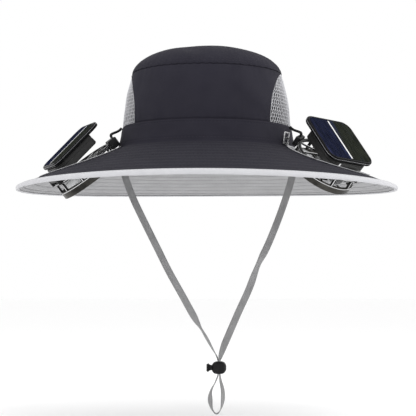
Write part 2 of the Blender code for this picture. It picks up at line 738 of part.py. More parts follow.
def make_panel(suffix, empty, side_of_hat):
    """Battery box with the hinge's knuckle, and the framed cells on it. X runs outboard."""
    half = PANEL_SIDE / 2.0
    box_top = BOX_DEPTH - 0.5 * MM
    box_low = -0.5 * MM
    battery = plate(f"battery_box_{suffix}",
                    rounded_outline(-BOX_NEAR - BOX_LENGTH, -BOX_NEAR, -BOX_HALF_WIDTH, BOX_HALF_WIDTH,
                                    (BOX_ROUNDING, BOX_END_ROUNDING, BOX_END_ROUNDING, BOX_ROUNDING), 4),
                    box_low, box_top)
    inner = LUG_INNER - GAP
    web = box("web", (-BOX_NEAR - 2.0 * MM, -inner, box_low + 0.2 * MM),
              (0.0, inner, KNUCKLE_RADIUS - 0.3 * MM))
    knuckle = cylinder_along_y("knuckle", KNUCKLE_RADIUS, inner, 0.0, 0.0)
    knuckle = combined(knuckle, "UNION", web)
    battery = combined(battery, "UNION", knuckle)
    bore = cylinder_along_y("bore", PIN_RADIUS + GAP, PIN_HALF_LENGTH, 0.0, 0.0)
    battery = combined(battery, "DIFFERENCE", bore)
    finished(battery, black_plastic(), empty)

    far = -PANEL_OVERHANG - PANEL_SIDE
    near = -PANEL_OVERHANG
    low = box_top + GAP
    high = low + PANEL_THICKNESS
    tray = plate(f"panel_frame_{suffix}", rounded_outline(far, near, -half, half, (PANEL_CORNER,) * 4),
                 low, high)
    recess = plate("recess", rounded_outline(far + PANEL_RIM, near - PANEL_RIM, -half + PANEL_RIM,
                                             half - PANEL_RIM, (PANEL_CORNER - PANEL_RIM,) * 4),
                   high - CELL_THICKNESS, high + 2.0 * MM)
    tray = combined(tray, "DIFFERENCE", recess)
    finished(tray, black_plastic(), empty)

    floor = high - CELL_THICKNESS + GAP
    top = high - 0.1 * MM
    edge = PANEL_RIM + GAP
    corner = PANEL_CORNER - edge
    bar = BUS_BAR_WIDTH / 2.0
    for label, side in (("front", -side_of_hat), ("back", side_of_hat)):
        inner_y = side * (bar + GAP)
        outer_y = side * (half - edge)
        radii = ((corner, corner, 0.2 * MM, 0.2 * MM) if side < 0.0
                 else (0.2 * MM, 0.2 * MM, corner, corner))
        cell = plate(f"solar_cell_{label}_{suffix}",
                     rounded_outline(far + edge, near - edge, min(inner_y, outer_y),
                                     max(inner_y, outer_y), radii), floor, top)
        finished(cell, cell_glass(), empty)
    bus = box(f"bus_bar_{suffix}", (far + edge + 1.0 * MM, -bar, floor), (near - edge - 1.0 * MM, bar, top))
    finished(bus, silver_print(), empty)


def make_bracket(suffix, empty, turn, reach):
    """Clamp block on the inboard side of the ring, where the keeper cord ends."""
    inner = CAGE_RADIUS + GAP
    block = box(f"ring_bracket_{suffix}", (-inner - reach, -BRACKET_HALF_WIDTH, BRACKET_LOW),
                (-inner + 4.0 * MM, BRACKET_HALF_WIDTH, BRACKET_TOP))
    clearance = cylinder("clearance", inner + GAP, -TOOL_MARGIN, 2.0 * TOOL_MARGIN)
    block = combined(block, "DIFFERENCE", clearance)
    block.data.transform(Matrix.Rotation(math.radians(turn), 4, "Z"))
    finished(block, black_plastic(), empty)


def make_hinge_pin(suffix, empty):
    pin = cylinder_along_y(f"hinge_pin_{suffix}", PIN_RADIUS, PIN_HALF_LENGTH, HINGE_X, HINGE_Z)
    finished(pin, bright_metal(), empty)


def make_buckle(side):
    """Slotted buckle that stands on the brim against the foot of the band."""
    half = BUCKLE_WIDTH / 2.0
    frame = box("slot_buckle_right", (-half, -BUCKLE_WALL / 2.0, 0.0),
                (half, BUCKLE_WALL / 2.0, BUCKLE_HEIGHT))
    slot_height = (BUCKLE_HEIGHT - 3.0 * BUCKLE_BAR) / 2.0
    for index in range(2):
        low = BUCKLE_BAR + index * (slot_height + BUCKLE_BAR)
        slot = box("slot", (-half + BUCKLE_BAR, -BUCKLE_WALL, low),
                   (half - BUCKLE_BAR, BUCKLE_WALL, low + slot_height))
        frame = combined(frame, "DIFFERENCE", slot)
    angle = side * (math.pi / 2.0 - BUCKLE_AZIMUTH)
    place = crown_point(CROWN_FOOT_HALF_WIDTH + 1.6 * MM, angle, 0.0)
    place.z = brim_height(place.x, place.y) + GAP / 2.0 + BRIM_TOP_PLY + 2.0 * GAP + BINDING_WALL
    frame.matrix_world = (Matrix.Translation(place) @ Matrix.Rotation(angle, 4, "Z")
                          @ Matrix.Rotation(BUCKLE_LEAN, 4, "X"))
    finished(frame, bright_metal())


def smooth_route(route, count):
    """Points at even spacing on a smooth curve through a route's own points."""
    values = [Vector(point) for point in route]
    dense = []
    for index in range(len(values) - 1):
        before = values[max(index - 1, 0)]
        start = values[index]
        end = values[index + 1]
        after = values[min(index + 2, len(values) - 1)]
        for step in range(12):
            t = step / 12.0
            dense.append(0.5 * ((2.0 * start) + (end - before) * t
                                + (2.0 * before - 5.0 * start + 4.0 * end - after) * t * t
                                + (3.0 * start - before - 3.0 * end + after) * t * t * t))
    dense.append(values[-1])
    lengths = [0.0]
    for first, second in zip(dense, dense[1:]):
        lengths.append(lengths[-1] + (second.xz - first.xz).length)
    points = []
    place = 0
    for index in range(count):
        wanted = lengths[-1] * index / (count - 1)
        while place < len(dense) - 2 and lengths[place + 1] < wanted:
            place += 1
        span = lengths[place + 1] - lengths[place]
        points.append(dense[place].lerp(dense[place + 1], (wanted - lengths[place]) / span))
    return points


def make_keeper(suffix, empty, side, turn, reach):
    """Elastic cord from the top seam of the band down to the clamp block."""
    angle = side * (math.pi / 2.0 - KEEPER_AZIMUTH)
    start = crown_point(CROWN_BAND_HALF_WIDTH + KEEPER_RADIUS + GAP, angle, BAND_TOP_HEIGHT - KEEPER_RADIUS)
    block = Vector((-CAGE_RADIUS - GAP - reach + 2.0 * KEEPER_RADIUS, 0.0, BRACKET_TOP + 2.5 * GAP))
    end = empty.matrix_world @ (Matrix.Rotation(math.radians(turn), 3, "Z") @ block)
    lean = Vector((side * KEEPER_LEAN, 0.0, -1.0)).normalized()
    first = start + lean * KEEPER_BULGE
    last = end + empty.matrix_world.to_3x3() @ Vector((0.0, 0.0, KEEPER_BULGE))
    curve = bpy.data.curves.new(f"keeper_cord_{suffix}", "CURVE")
    curve.dimensions = "3D"
    curve.bevel_depth = KEEPER_RADIUS
    curve.bevel_resolution = 1
    curve.use_fill_caps = True
    spline = curve.splines.new("POLY")
    spline.points.add(KEEPER_POINTS - 1)
    for index, point in enumerate(spline.points):
        t = index / (KEEPER_POINTS - 1)
        place = (start * (1.0 - t) ** 3 + first * 3.0 * t * (1.0 - t) ** 2
                 + last * 3.0 * t * t * (1.0 - t) + end * t ** 3)
        point.co = (*place, 1.0)
    obj = bpy.data.objects.new(f"keeper_cord_{suffix}", curve)
    parts.objects.link(obj)
    made = baked(obj)
    bpy.data.curves.remove(curve)
    bm = bmesh.new()
    bm.from_mesh(made.data)
    bmesh.ops.remove_doubles(bm, verts=bm.verts, dist=0.00001)
    bm.to_mesh(made.data)
    bm.free()
    finished(made, black_plastic())


def make_unit(suffix, row):
    unit = dict(zip(UNIT_COLUMNS, row))
    empty = unit_empty(f"unit_axis_{suffix}", unit)
    hinge = panel_empty(f"panel_axis_{suffix}", empty)
    bpy.context.view_layer.update()
    turn = unit["side"] * unit["bracket_turn"]
    make_cage(suffix, empty)
    make_guard(suffix, empty)
    make_motor(suffix, empty)
    make_impeller(suffix, empty)
    make_hinge_pin(suffix, empty)
    make_panel(suffix, hinge, unit["side"])
    make_bracket(suffix, empty, turn, unit["bracket_reach"])
    make_keeper(suffix, empty, unit["side"], turn, unit["bracket_reach"])


def make_strap():
    """Flat tape that hangs in the plane of the ears, turning edge-on in the cord lock."""
    route = [(x * MM, turn * MM, z * MM) for x, z, turn in STRAP_ROUTE]
    stations = smooth_route(route, STRAP_STATIONS)
    half = STRAP_WIDTH / 2.0
    thick = STRAP_THICKNESS / 2.0
    outline = ((half, -thick), (half, thick), (-half, thick), (-half, -thick))
    sections = []
    for index, station in enumerate(stations):
        before = stations[max(index - 1, 0)]
        after = stations[min(index + 1, len(stations) - 1)]
        along = Vector((after.x - before.x, 0.0, after.z - before.z)).normalized()
        flat = Vector((along.z, 0.0, -along.x))
        turn = math.radians(station.y / MM)
        across = flat * math.cos(turn) + Vector((0.0, 1.0, 0.0)) * math.sin(turn)
        face = along.cross(across)
        centre = Vector((station.x, 0.0, station.z))
        sections.append([centre + across * u + face * v for u, v in outline])
    finished(loft("chin_strap", sections, False), strap_webbing())


def make_lock():
    """Cord lock: a hollow barrel and the plunger that slides in it along X."""
    half = LOCK_LENGTH / 2.0
    barrel = box("toggle_barrel", (-half, -LOCK_DEPTH / 2.0, -LOCK_HEIGHT / 2.0),
                 (half, LOCK_DEPTH / 2.0, LOCK_HEIGHT / 2.0))
    bevel = barrel.modifiers.new("round", "BEVEL")
    bevel.width = LOCK_ROUNDING
    bevel.segments = 2
    bevel.limit_method = "ANGLE"
    barrel = baked(barrel)
    wall = 1.5 * MM
    cavity = box("cavity", (-half - 2.0 * MM, -PLUNGER_DEPTH / 2.0 - GAP, -PLUNGER_HEIGHT / 2.0 - GAP),
                 (half - wall, PLUNGER_DEPTH / 2.0 + GAP, PLUNGER_HEIGHT / 2.0 + GAP))
    barrel = combined(barrel, "DIFFERENCE", cavity)
    slot = box("slot", (-LOCK_SLOT / 2.0, -LOCK_SLOT_DEPTH / 2.0, -LOCK_HEIGHT),
               (LOCK_SLOT / 2.0, LOCK_SLOT_DEPTH / 2.0, LOCK_HEIGHT))
    barrel = combined(barrel, "DIFFERENCE", slot)

    tape = STRAP_THICKNESS + 0.8 * MM + GAP
    tongue_end = half - wall - PLUNGER_STROKE - GAP
    flange_end = -half - PLUNGER_NECK - PLUNGER_FLANGE
    plunger = box("toggle_plunger",
                  (-half - PLUNGER_NECK - 0.1 * MM, -PLUNGER_DEPTH / 2.0, -PLUNGER_HEIGHT / 2.0),
                  (tongue_end, PLUNGER_DEPTH / 2.0, PLUNGER_HEIGHT / 2.0))
    flange = box("flange", (flange_end, -PLUNGER_DEPTH / 2.0 - 0.8 * MM, -PLUNGER_FLANGE_HEIGHT / 2.0),
                 (flange_end + PLUNGER_FLANGE, PLUNGER_DEPTH / 2.0 + 0.8 * MM, PLUNGER_FLANGE_HEIGHT / 2.0))
    rounding = flange.modifiers.new("round", "BEVEL")
    rounding.width = 1.0 * MM
    rounding.segments = 1
    rounding.limit_method = "ANGLE"
    flange = baked(flange)
    plunger = combined(plunger, "UNION", flange)
    window = box("window", (-tape - PLUNGER_STROKE, -LOCK_SLOT_DEPTH / 2.0, -LOCK_HEIGHT),
                 (tape, LOCK_SLOT_DEPTH / 2.0, LOCK_HEIGHT))
    plunger = combined(plunger, "DIFFERENCE", window)
    for obj in (barrel, plunger):
        obj.location = (LOCK_X, 0.0, LOCK_Z)
        finished(obj, black_plastic())


clear_scene()
make_crown()
make_brim()
for unit_name, unit_row in UNIT_ROWS.items():
    make_unit(unit_name, unit_row)
make_buckle(1)
make_strap()
make_lock()
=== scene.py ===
import contextlib
import json
import math

import bmesh
import bpy
from mathutils import Matrix, Vector, noise


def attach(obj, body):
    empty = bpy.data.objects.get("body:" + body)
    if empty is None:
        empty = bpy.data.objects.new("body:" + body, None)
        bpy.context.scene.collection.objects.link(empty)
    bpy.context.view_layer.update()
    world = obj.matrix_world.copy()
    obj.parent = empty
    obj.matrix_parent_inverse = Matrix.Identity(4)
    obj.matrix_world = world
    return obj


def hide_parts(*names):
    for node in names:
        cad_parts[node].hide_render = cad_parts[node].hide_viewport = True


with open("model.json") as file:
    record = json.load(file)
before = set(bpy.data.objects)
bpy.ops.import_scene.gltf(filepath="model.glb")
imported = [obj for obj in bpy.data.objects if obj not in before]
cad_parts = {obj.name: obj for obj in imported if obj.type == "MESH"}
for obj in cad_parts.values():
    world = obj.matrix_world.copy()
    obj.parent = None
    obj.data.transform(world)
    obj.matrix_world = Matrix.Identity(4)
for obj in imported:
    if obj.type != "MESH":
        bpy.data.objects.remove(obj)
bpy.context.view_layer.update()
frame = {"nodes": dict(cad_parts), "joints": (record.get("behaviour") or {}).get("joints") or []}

MM = 0.001


def linked(name, data):
    """A new object of this data, put in the scene."""
    made = bpy.data.objects.new(name, data)
    bpy.context.scene.collection.objects.link(made)
    return made


# Camera
# The hat is looked at from the front, a little below the brim, turned slightly to its left. The
# focal length and both offsets are in pixels of the picture.
CAMERA_AZIMUTH = math.radians(4.5)
CAMERA_DISTANCE = 1.5
CAMERA_HEIGHT = -0.139
PICTURE_WIDTH = 416.0
FOCAL_LENGTH = 1500.0
HORIZON_OFFSET = 81.5
CENTRE_OFFSET = 1.0
SENSOR_WIDTH = 36.0
camera_data = bpy.data.cameras.new("camera")
camera_data.lens = SENSOR_WIDTH * FOCAL_LENGTH / PICTURE_WIDTH
camera_data.sensor_width = SENSOR_WIDTH
camera_data.clip_end = 20.0
camera = linked("camera", camera_data)
camera.location = (CAMERA_DISTANCE * math.sin(CAMERA_AZIMUTH), -CAMERA_DISTANCE * math.cos(CAMERA_AZIMUTH),
                   CAMERA_HEIGHT)
camera.rotation_euler = (math.pi / 2.0 + math.atan(HORIZON_OFFSET / FOCAL_LENGTH), 0.0,
                         CAMERA_AZIMUTH - math.atan(CENTRE_OFFSET / FOCAL_LENGTH))
bpy.context.scene.camera = camera


def shader_sum(operation, turned=False):
    """A method that works out one sum in the shader, with its sides changed over where turned."""
    def method(value, *others):
        sides = (*others, value) if turned else (value, *others)
        return value.surface.add("ShaderNodeMath", {"operation": operation}, dict(enumerate(sides)))[0]
    return method


class Value:
    """A shader socket that takes part in sums, so that a pattern reads as an expression."""

    __add__ = shader_sum("ADD")
    __sub__ = shader_sum("SUBTRACT")
    __rsub__ = shader_sum("SUBTRACT", turned=True)
    __mul__ = shader_sum("MULTIPLY")
    __truediv__ = shader_sum("DIVIDE")
    sine = shader_sum("SINE")
    fraction = shader_sum("FRACT")
    size = shader_sum("ABSOLUTE")
    above = shader_sum("GREATER_THAN")
    least = shader_sum("MINIMUM")
    most = shader_sum("MAXIMUM")

    def __init__(self, surface, socket):
        self.surface = surface
        self.socket = socket


class Surface:
    """A node material: add() makes one node, and feed() joins a value to the Principled shader."""

    def __init__(self, name, colour, roughness, metallic=0.0, **fixed):
        self.material = bpy.data.materials.new(name)
        self.material.use_nodes = True
        self.material.diffuse_color = (*colour, 1.0)
        self.tree = self.material.node_tree
        self.shader = self.tree.nodes["Principled BSDF"]
        self.shader.inputs["Base Color"].default_value = (*colour, 1.0)
        self.shader.inputs["Roughness"].default_value = roughness
        self.shader.inputs["Metallic"].default_value = metallic
        for label, value in fixed.items():
            self.shader.inputs[label.replace("_", " ")].default_value = value

    def join(self, value, socket):
        if isinstance(value, Value):
            self.tree.links.new(value.socket, socket)
        else:
            socket.default_value = value

    def feed(self, label, value):
        self.join(value, self.shader.inputs[label])

    def add(self, kind, settings=None, inputs=None):
        node = self.tree.nodes.new(kind)
        for label, value in (settings or {}).items():
            setattr(node, label, value)
        for label, value in (inputs or {}).items():
            self.join(value, node.inputs[label])
        return [Value(self, socket) for socket in node.outputs]

    def split(self, value):
        return self.add("ShaderNodeSeparateXYZ", {}, {0: value})

    def place(self):
        """Object coordinates, in metres."""
        return self.add("ShaderNodeTexCoord")[3]

    def along(self):
        """The piece's own UV map, in metres along and across the cloth."""
        return self.split(self.add("ShaderNodeTexCoord")[2])[:2]

    def cloudy(self, scale, detail=3.0, where=None):
        """Soft noise from 0 to 1; scale is in blobs per metre."""
        where = where or self.place()
        return self.add("ShaderNodeTexNoise", {}, {"Vector": where, "Scale": scale, "Detail": detail})[0]

    def blend(self, factor, *colours):
        first, second = [(*colour, 1.0) if isinstance(colour, tuple) else colour for colour in colours]
        return self.add("ShaderNodeMix", {"data_type": "RGBA"}, {0: factor, 6: first, 7: second})[2]

    def tint(self, factor, first, second):
        self.feed("Base Color", self.blend(factor, first, second))

    def uneven(self, scale, span, least):
        """Cloudy roughness, from least to least + span."""
        self.feed("Roughness", self.cloudy(scale) * span + least)

    def bump(self, height, distance):
        self.feed("Normal", self.add("ShaderNodeBump", {}, {"Height": height, "Distance": distance})[0])

    def grain(self, scale, distance):
        self.bump(self.cloudy(scale), distance)


def wave(value, pitch):
    return (value * (math.tau / pitch)).sine()


def weave(surface, pitch):
    """Height of a plain weave, from 0 to 1, on the cloth's own measure."""
    across, along = surface.along()
    return wave(across, pitch) * wave(along, pitch) * 0.5 + 0.5


@contextlib.contextmanager
def opened(data):
    """A mesh's points and faces, open for edits that are written back afterwards."""
    mesh = bmesh.new()
    mesh.from_mesh(data)
    yield mesh
    mesh.to_mesh(data)
    mesh.free()


def select_only(*pieces):
    bpy.ops.object.select_all(action="DESELECT")
    for piece in pieces:
        piece.select_set(True)
    bpy.context.view_layer.objects.active = pieces[0]


def altered(piece, kind, **settings):
    """Puts a modifier on a piece and applies it."""
    select_only(piece)
    modifier = piece.modifiers.new(kind.lower(), kind)
    for label, value in settings.items():
        setattr(modifier, label, value)
    bpy.ops.object.modifier_apply(modifier=modifier.name)


def from_faces(name, vertices, faces, surface):
    data = bpy.data.meshes.new(name)
    data.from_pydata(vertices, [], faces)
    data.materials.append(surface.material)
    return linked(name, data)


def dressed(piece, node, slot, body="root"):
    """Hides the CAD piece that this one shows and hangs this one on its body; slot is not used."""
    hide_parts(node)
    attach(piece, body)
    return piece


MEASURE_STEPS = 40
SEAM_MERGE = 0.02 * MM


def cloth(name, columns, rows, place, wall, surface, round_about=False, reach=None, filled=False):
    """A woven piece: a grid laid where place(u, v) says, 0 to 1 each way, with a wall behind it.

    Its UV map is in metres, measured along the middle row and column; reach sets the second. It may
    close on itself round the hat, and its small hole in the middle may be filled.
    """
    bpy.ops.mesh.primitive_grid_add(x_subdivisions=columns, y_subdivisions=rows, size=1.0)
    piece = bpy.context.object
    piece.name = name
    shares = [(vertex.co.x + 0.5, vertex.co.y + 0.5) for vertex in piece.data.vertices]
    steps = [index / MEASURE_STEPS for index in range(MEASURE_STEPS + 1)]
    width = sum((place(end, 0.5) - place(start, 0.5)).length for start, end in zip(steps, steps[1:]))
    height = reach or sum((place(0.5, end) - place(0.5, start)).length
                          for start, end in zip(steps, steps[1:]))
    for loop in piece.data.loops:
        u, v = shares[loop.vertex_index]
        piece.data.uv_layers[0].data[loop.index].uv = (u * width, v * height)
    for vertex, (u, v) in zip(piece.data.vertices, shares):
        vertex.co = place(u, v)
    with opened(piece.data) as mesh:
        if round_about:
            bmesh.ops.remove_doubles(mesh, verts=mesh.verts, dist=SEAM_MERGE)
        if filled:
            rim = [edge for edge in mesh.edges if edge.is_boundary and edge.calc_length() < MM]
            bmesh.ops.holes_fill(mesh, edges=rim)
    altered(piece, "SOLIDIFY", thickness=wall, offset=-1.0)
    piece.data.shade_smooth()
    piece.data.materials.append(surface.material)
    return piece


# Chin strap
# One length of flat grey webbing, 7 mm wide, sewn into the seam where the crown meets the brim on
# both sides. It hangs in the plane of the ears and its loop passes twice through the cord lock.
STRAP_WIDTH = 7.0 * MM
STRAP_THICKNESS = 1.0 * MM
STRAP_ROUTE = (
    (-88.6, -3.6, 0), (-83.0, -24.5, 0), (-74.5, -47.5, 0), (-62.5, -72.5, 0), (-50.5, -96.5, 0),
    (-38.5, -120.5, 0), (-25.0, -144.5, 0), (-15.0, -162.5, 10), (-6.5, -177.0, 70), (-0.5, -187.0, 68),
    (5.0, -197.0, 76), (9.8, -205.5, 90), (11.3, -211.0, 90), (11.3, -222.5, 90), (8.6, -230.5, 90),
    (4.2, -239.5, 75), (3.2, -248.5, 50), (5.0, -257.5, 75), (9.4, -262.2, 90), (13.6, -258.0, 90),
    (15.7, -248.5, 68), (15.6, -239.0, 68), (13.6, -230.0, 80), (12.7, -222.5, 90), (12.7, -211.0, 90),
    (13.6, -205.0, 62), (17.0, -195.0, 30), (21.0, -185.5, 10), (31.0, -162.5, 0), (42.0, -138.5, 0),
    (51.0, -114.5, 55), (60.0, -96.5, 0), (70.0, -72.5, 0), (79.0, -47.5, 0), (85.5, -25.5, 0),
    (88.9, -3.6, 0),
)
STRAP_STEPS = 8
STRAP_CROWN = 0.12 * MM


def strap_line():
    """The route's own points, joined by a smooth curve: centre points and turns of the tape."""
    route = [Vector((x * MM, math.radians(turn), z * MM)) for x, z, turn in STRAP_ROUTE]
    line = []
    for index in range(len(route) - 1):
        before = route[max(index - 1, 0)]
        start = route[index]
        end = route[index + 1]
        after = route[min(index + 2, len(route) - 1)]
        for step in range(STRAP_STEPS):
            t = step / STRAP_STEPS
            line.append(0.5 * (2.0 * start + (end - before) * t
                               + (2.0 * before - 5.0 * start + 4.0 * end - after) * t * t
                               + (3.0 * start - before - 3.0 * end + after) * t ** 3))
    line.append(route[-1])
    return [(Vector((p.x, 0.0, p.z)), p.y) for p in line]


strap_stations = strap_line()
strap_centres = [centre for centre, _ in strap_stations]
strap_length = sum((b - a).length for a, b in zip(strap_centres, strap_centres[1:]))

WEBBING_PALE = (0.41, 0.41, 0.415)
WEBBING_DARK = (0.235, 0.235, 0.24)
webbing = Surface("webbing", WEBBING_PALE, 0.86, Sheen_Weight=0.25, Sheen_Roughness=0.5)
strap_across, strap_along = webbing.along()
rib = ((strap_across * (math.tau / (1.3 * MM))) + (strap_along * (math.tau / (1.9 * MM)))).sine()
chevron = ((strap_along - STRAP_WIDTH / 2.0).size() * (math.tau / (1.1 * MM))
           + strap_across * (math.tau / (1.4 * MM))).sine()
webbing.tint(chevron * 0.3 + webbing.cloudy(90.0) * 0.9 - 0.1, WEBBING_DARK, WEBBING_PALE)
webbing.bump(chevron * 0.5 + rib * 0.2, 0.22 * MM)


def strap_face(u, v):
    """A point of the tape's outer face; u runs along the strap and v across it."""
    place = u * (len(strap_stations) - 1)
    index = min(int(place), len(strap_stations) - 2)
    share = place - index
    (first, first_turn), (last, last_turn) = strap_stations[index:index + 2]
    turn = first_turn + (last_turn - first_turn) * share
    along = strap_centres[min(index + 2, len(strap_centres) - 1)] - strap_centres[max(index - 1, 0)]
    along.normalize()
    across = Vector((along.z * math.cos(turn), math.sin(turn), -along.x * math.cos(turn)))
    lift = STRAP_THICKNESS / 2.0 - STRAP_CROWN * (1.0 - math.cos(math.pi * (v - 0.5)))
    return first.lerp(last, share) + across * (v - 0.5) * STRAP_WIDTH + along.cross(across) * lift


strap = cloth("strap_tape", 4 * len(strap_stations) // 3, 8, strap_face, STRAP_THICKNESS - STRAP_CROWN,
              webbing)
dressed(strap, "chin_strap", "strap_webbing")


# Crown
# A domed tip and a front and a back panel of charcoal taslan cloth, sewn to an arched net on each
# side. The seams are turned in, and a row of top stitching follows them.
CROWN_FOOT_HALF_WIDTH = 88.5 * MM
CROWN_BAND_HALF_WIDTH = 84.5 * MM
CROWN_SEAM_HALF_WIDTH = 75.0 * MM
HEAD_DEPTH_RATIO = 1.14
BAND_FOOT_HEIGHT = 1.7 * MM
BAND_TOP_HEIGHT = 22.0 * MM
WALL_FOOT_HEIGHT = 22.3 * MM
TIP_SEAM_HEIGHT = 76.0 * MM
CROWN_HEIGHT = 100.5 * MM
CLOTH_WALL = 1.5 * MM
NET_HALF_ANGLE = math.radians(38.0)
WALL_TAPER_POWER = 1.65
DOME_WIDTH_POWER = 3.33
DOME_HEIGHT_POWER = 0.625
TIP_REACH = 0.985
TIP_ROW_POWER = 0.62

CHARCOAL = (0.0150, 0.0140, 0.0220)
CHARCOAL_WORN = (0.0235, 0.0220, 0.0325)
taslan = Surface("charcoal_taslan", CHARCOAL, 0.85, Specular_IOR_Level=0.18)
threads = weave(taslan, 1.0 * MM)
taslan.tint(threads * 0.25 + taslan.cloudy(38.0) * 0.9 - 0.15, CHARCOAL, CHARCOAL_WORN)
taslan.uneven(60.0, 0.2, 0.74)
taslan.bump(threads + taslan.cloudy(300.0) * 0.6, 0.1 * MM)


def crown_point(half_width, angle, height):
    return Vector((half_width * math.sin(angle), -half_width * HEAD_DEPTH_RATIO * math.cos(angle), height))


def outward(angle):
    """The way that the crown's wall faces, level."""
    return Vector((math.sin(angle), -math.cos(angle) / HEAD_DEPTH_RATIO, 0.0)).normalized()


def wall_half_width(share):
    return CROWN_BAND_HALF_WIDTH - (CROWN_BAND_HALF_WIDTH - CROWN_SEAM_HALF_WIDTH) * (
        max(share, 0.0) ** WALL_TAPER_POWER)


def soft(x, y, z=0.0):
    """Signed soft noise, about -1 to 1, for the slack of the cloth."""
    return noise.noise(Vector((x, y, z)))


def soft_round(angle, spread, height, layer=0.0):
    """The same, closed on itself round the hat; spread is the number of swells in a radian."""
    return noise.noise(Vector((spread * math.sin(angle), spread * math.cos(angle), height + layer)))


def pucker(angle, depth):
    """Small gathers that run off a seam; depth is the distance from it in shares."""
    return math.sin(angle * 61.0 + 2.0 * soft_round(angle, 9.0, depth)) * math.exp(-depth * 9.0)


def wall_slack(angle, share):
    """How far the crown's wall stands off its true form, in metres."""
    long_fold = soft_round(angle, 2.6, share * 1.7, 5.0) * 0.9
    slant = math.sin(angle * 7.0 + share * 4.0 + 2.5 * soft_round(angle, 2.0, share * 2.0)) * 0.35
    fade = math.sin(math.pi * min(max(share, 0.0), 1.0)) ** 0.6
    return ((long_fold + slant) * fade + 0.3 * pucker(angle, 1.0 - share) + 0.2 * pucker(angle, share)) * MM


def net_half_angle(share):
    return NET_HALF_ANGLE * math.sqrt(max(1.0 - share ** 2, 0.0))


def wall_place(angle, share, inset=0.0):
    height = WALL_FOOT_HEIGHT + (TIP_SEAM_HEIGHT - 0.3 * MM - WALL_FOOT_HEIGHT) * share
    point = crown_point(wall_half_width(share), angle, height)
    return point + outward(angle) * (wall_slack(angle, share) - inset)


TUCK_FOOT = 0.06
TUCK_TOP = 0.03
TUCK_DEPTH = 1.9 * MM


def tucked(v):
    """How far up the wall a row lies, and how far in: the end rows go inside the band and the tip."""
    share = v * (1.0 + TUCK_FOOT + TUCK_TOP) - TUCK_FOOT
    past = max(-share / TUCK_FOOT, (share - 1.0) / TUCK_TOP, 0.0)
    return share, TUCK_DEPTH * min(past, 1.0) ** 0.5


for panel_name, middle in (("crown_front_panel", 0.0), ("crown_back_panel", math.pi)):
    def panel_face(u, v, middle=middle):
        share, inset = tucked(v)
        half = math.pi / 2.0 - net_half_angle(share) - math.radians(0.35)
        angle = middle + (2.0 * u - 1.0) * half
        rim = min(u, 1.0 - u) * 2.0 * half * CROWN_SEAM_HALF_WIDTH
        turned_in = 0.7 * MM * math.exp(-(rim / (1.3 * MM)) ** 2)
        return wall_place(angle, share, max(turned_in, inset))
    panel = cloth(f"{panel_name}_cloth", 150, 44, panel_face, CLOTH_WALL, taslan)
    dressed(panel, panel_name, "charcoal_cloth")


def dome_place(angle, share):
    """The tip, with the fold and the slack of the cloth; share runs from the middle to its seam."""
    height = TIP_SEAM_HEIGHT + (CROWN_HEIGHT - TIP_SEAM_HEIGHT) * (
        max(1.0 - share ** DOME_WIDTH_POWER, 0.0) ** DOME_HEIGHT_POWER)
    point = crown_point(CROWN_SEAM_HALF_WIDTH * share, angle, height)
    slack = 0.8 * soft(point.x * 28.0, point.y * 28.0, 3.0) * min(1.0, (1.0 - share) * 6.0)
    fold = math.exp(-((point.x + 8.0 * MM + 0.35 * (point.y + 0.07)) / (7.0 * MM)) ** 2)
    front = math.exp(-((point.y + 66.0 * MM) / (14.0 * MM)) ** 2)
    point.z += (slack + 0.5 * pucker(angle, (1.0 - share) * 1.3)) * MM - 1.5 * MM * fold * front
    return point


def tip_face(u, v):
    """Rows run from the seam, v = 0, to a small ring round the middle."""
    return dome_place(math.tau * u, math.cos(math.pi / 2.0 * v * TIP_REACH) ** TIP_ROW_POWER)


tip = cloth("crown_tip_cloth", 180, 40, tip_face, CLOTH_WALL, taslan, round_about=True, filled=True)
dressed(tip, "crown_tip", "charcoal_cloth")


# Side nets
# An air mesh, cut to an arch: an outer face of pale yarn with six-sided holes over a close inner
# face. That inner face is real, but its near-black colour is painted shade, the shadow inside the
# holes. Its edge is let in under the cloth panels and the band, and is caught in their seams.
NET_PITCH = 4.0 * MM
NET_YARN = 0.85 * MM
NET_DEPTH = 0.9 * MM
NET_INSET = 1.1 * MM
NET_COLOUR = (0.70, 0.70, 0.73)
NET_SHADE = (0.44, 0.44, 0.46)
# Painted shade: the inner face's near-black colour stands for the shadow inside the holes of the air mesh.
NET_PAINTED_HOLE_SHADE = (0.05, 0.05, 0.055)
NET_PAINTED_HOLE_SHADE_PALE = (0.12, 0.12, 0.125)
net_yarn = Surface("net_yarn", NET_COLOUR, 0.62, Sheen_Weight=0.2)
net_yarn.tint(net_yarn.cloudy(260.0), NET_SHADE, NET_COLOUR)
net_yarn.grain(2600.0, 0.15 * MM)
hole_shade_lining = Surface("net_painted_hole_shade", NET_PAINTED_HOLE_SHADE, 0.85, Specular_IOR_Level=0.1)
hole_shade_lining.tint(hole_shade_lining.cloudy(500.0), NET_PAINTED_HOLE_SHADE, NET_PAINTED_HOLE_SHADE_PALE)
hole_shade_lining.grain(2000.0, 0.2 * MM)


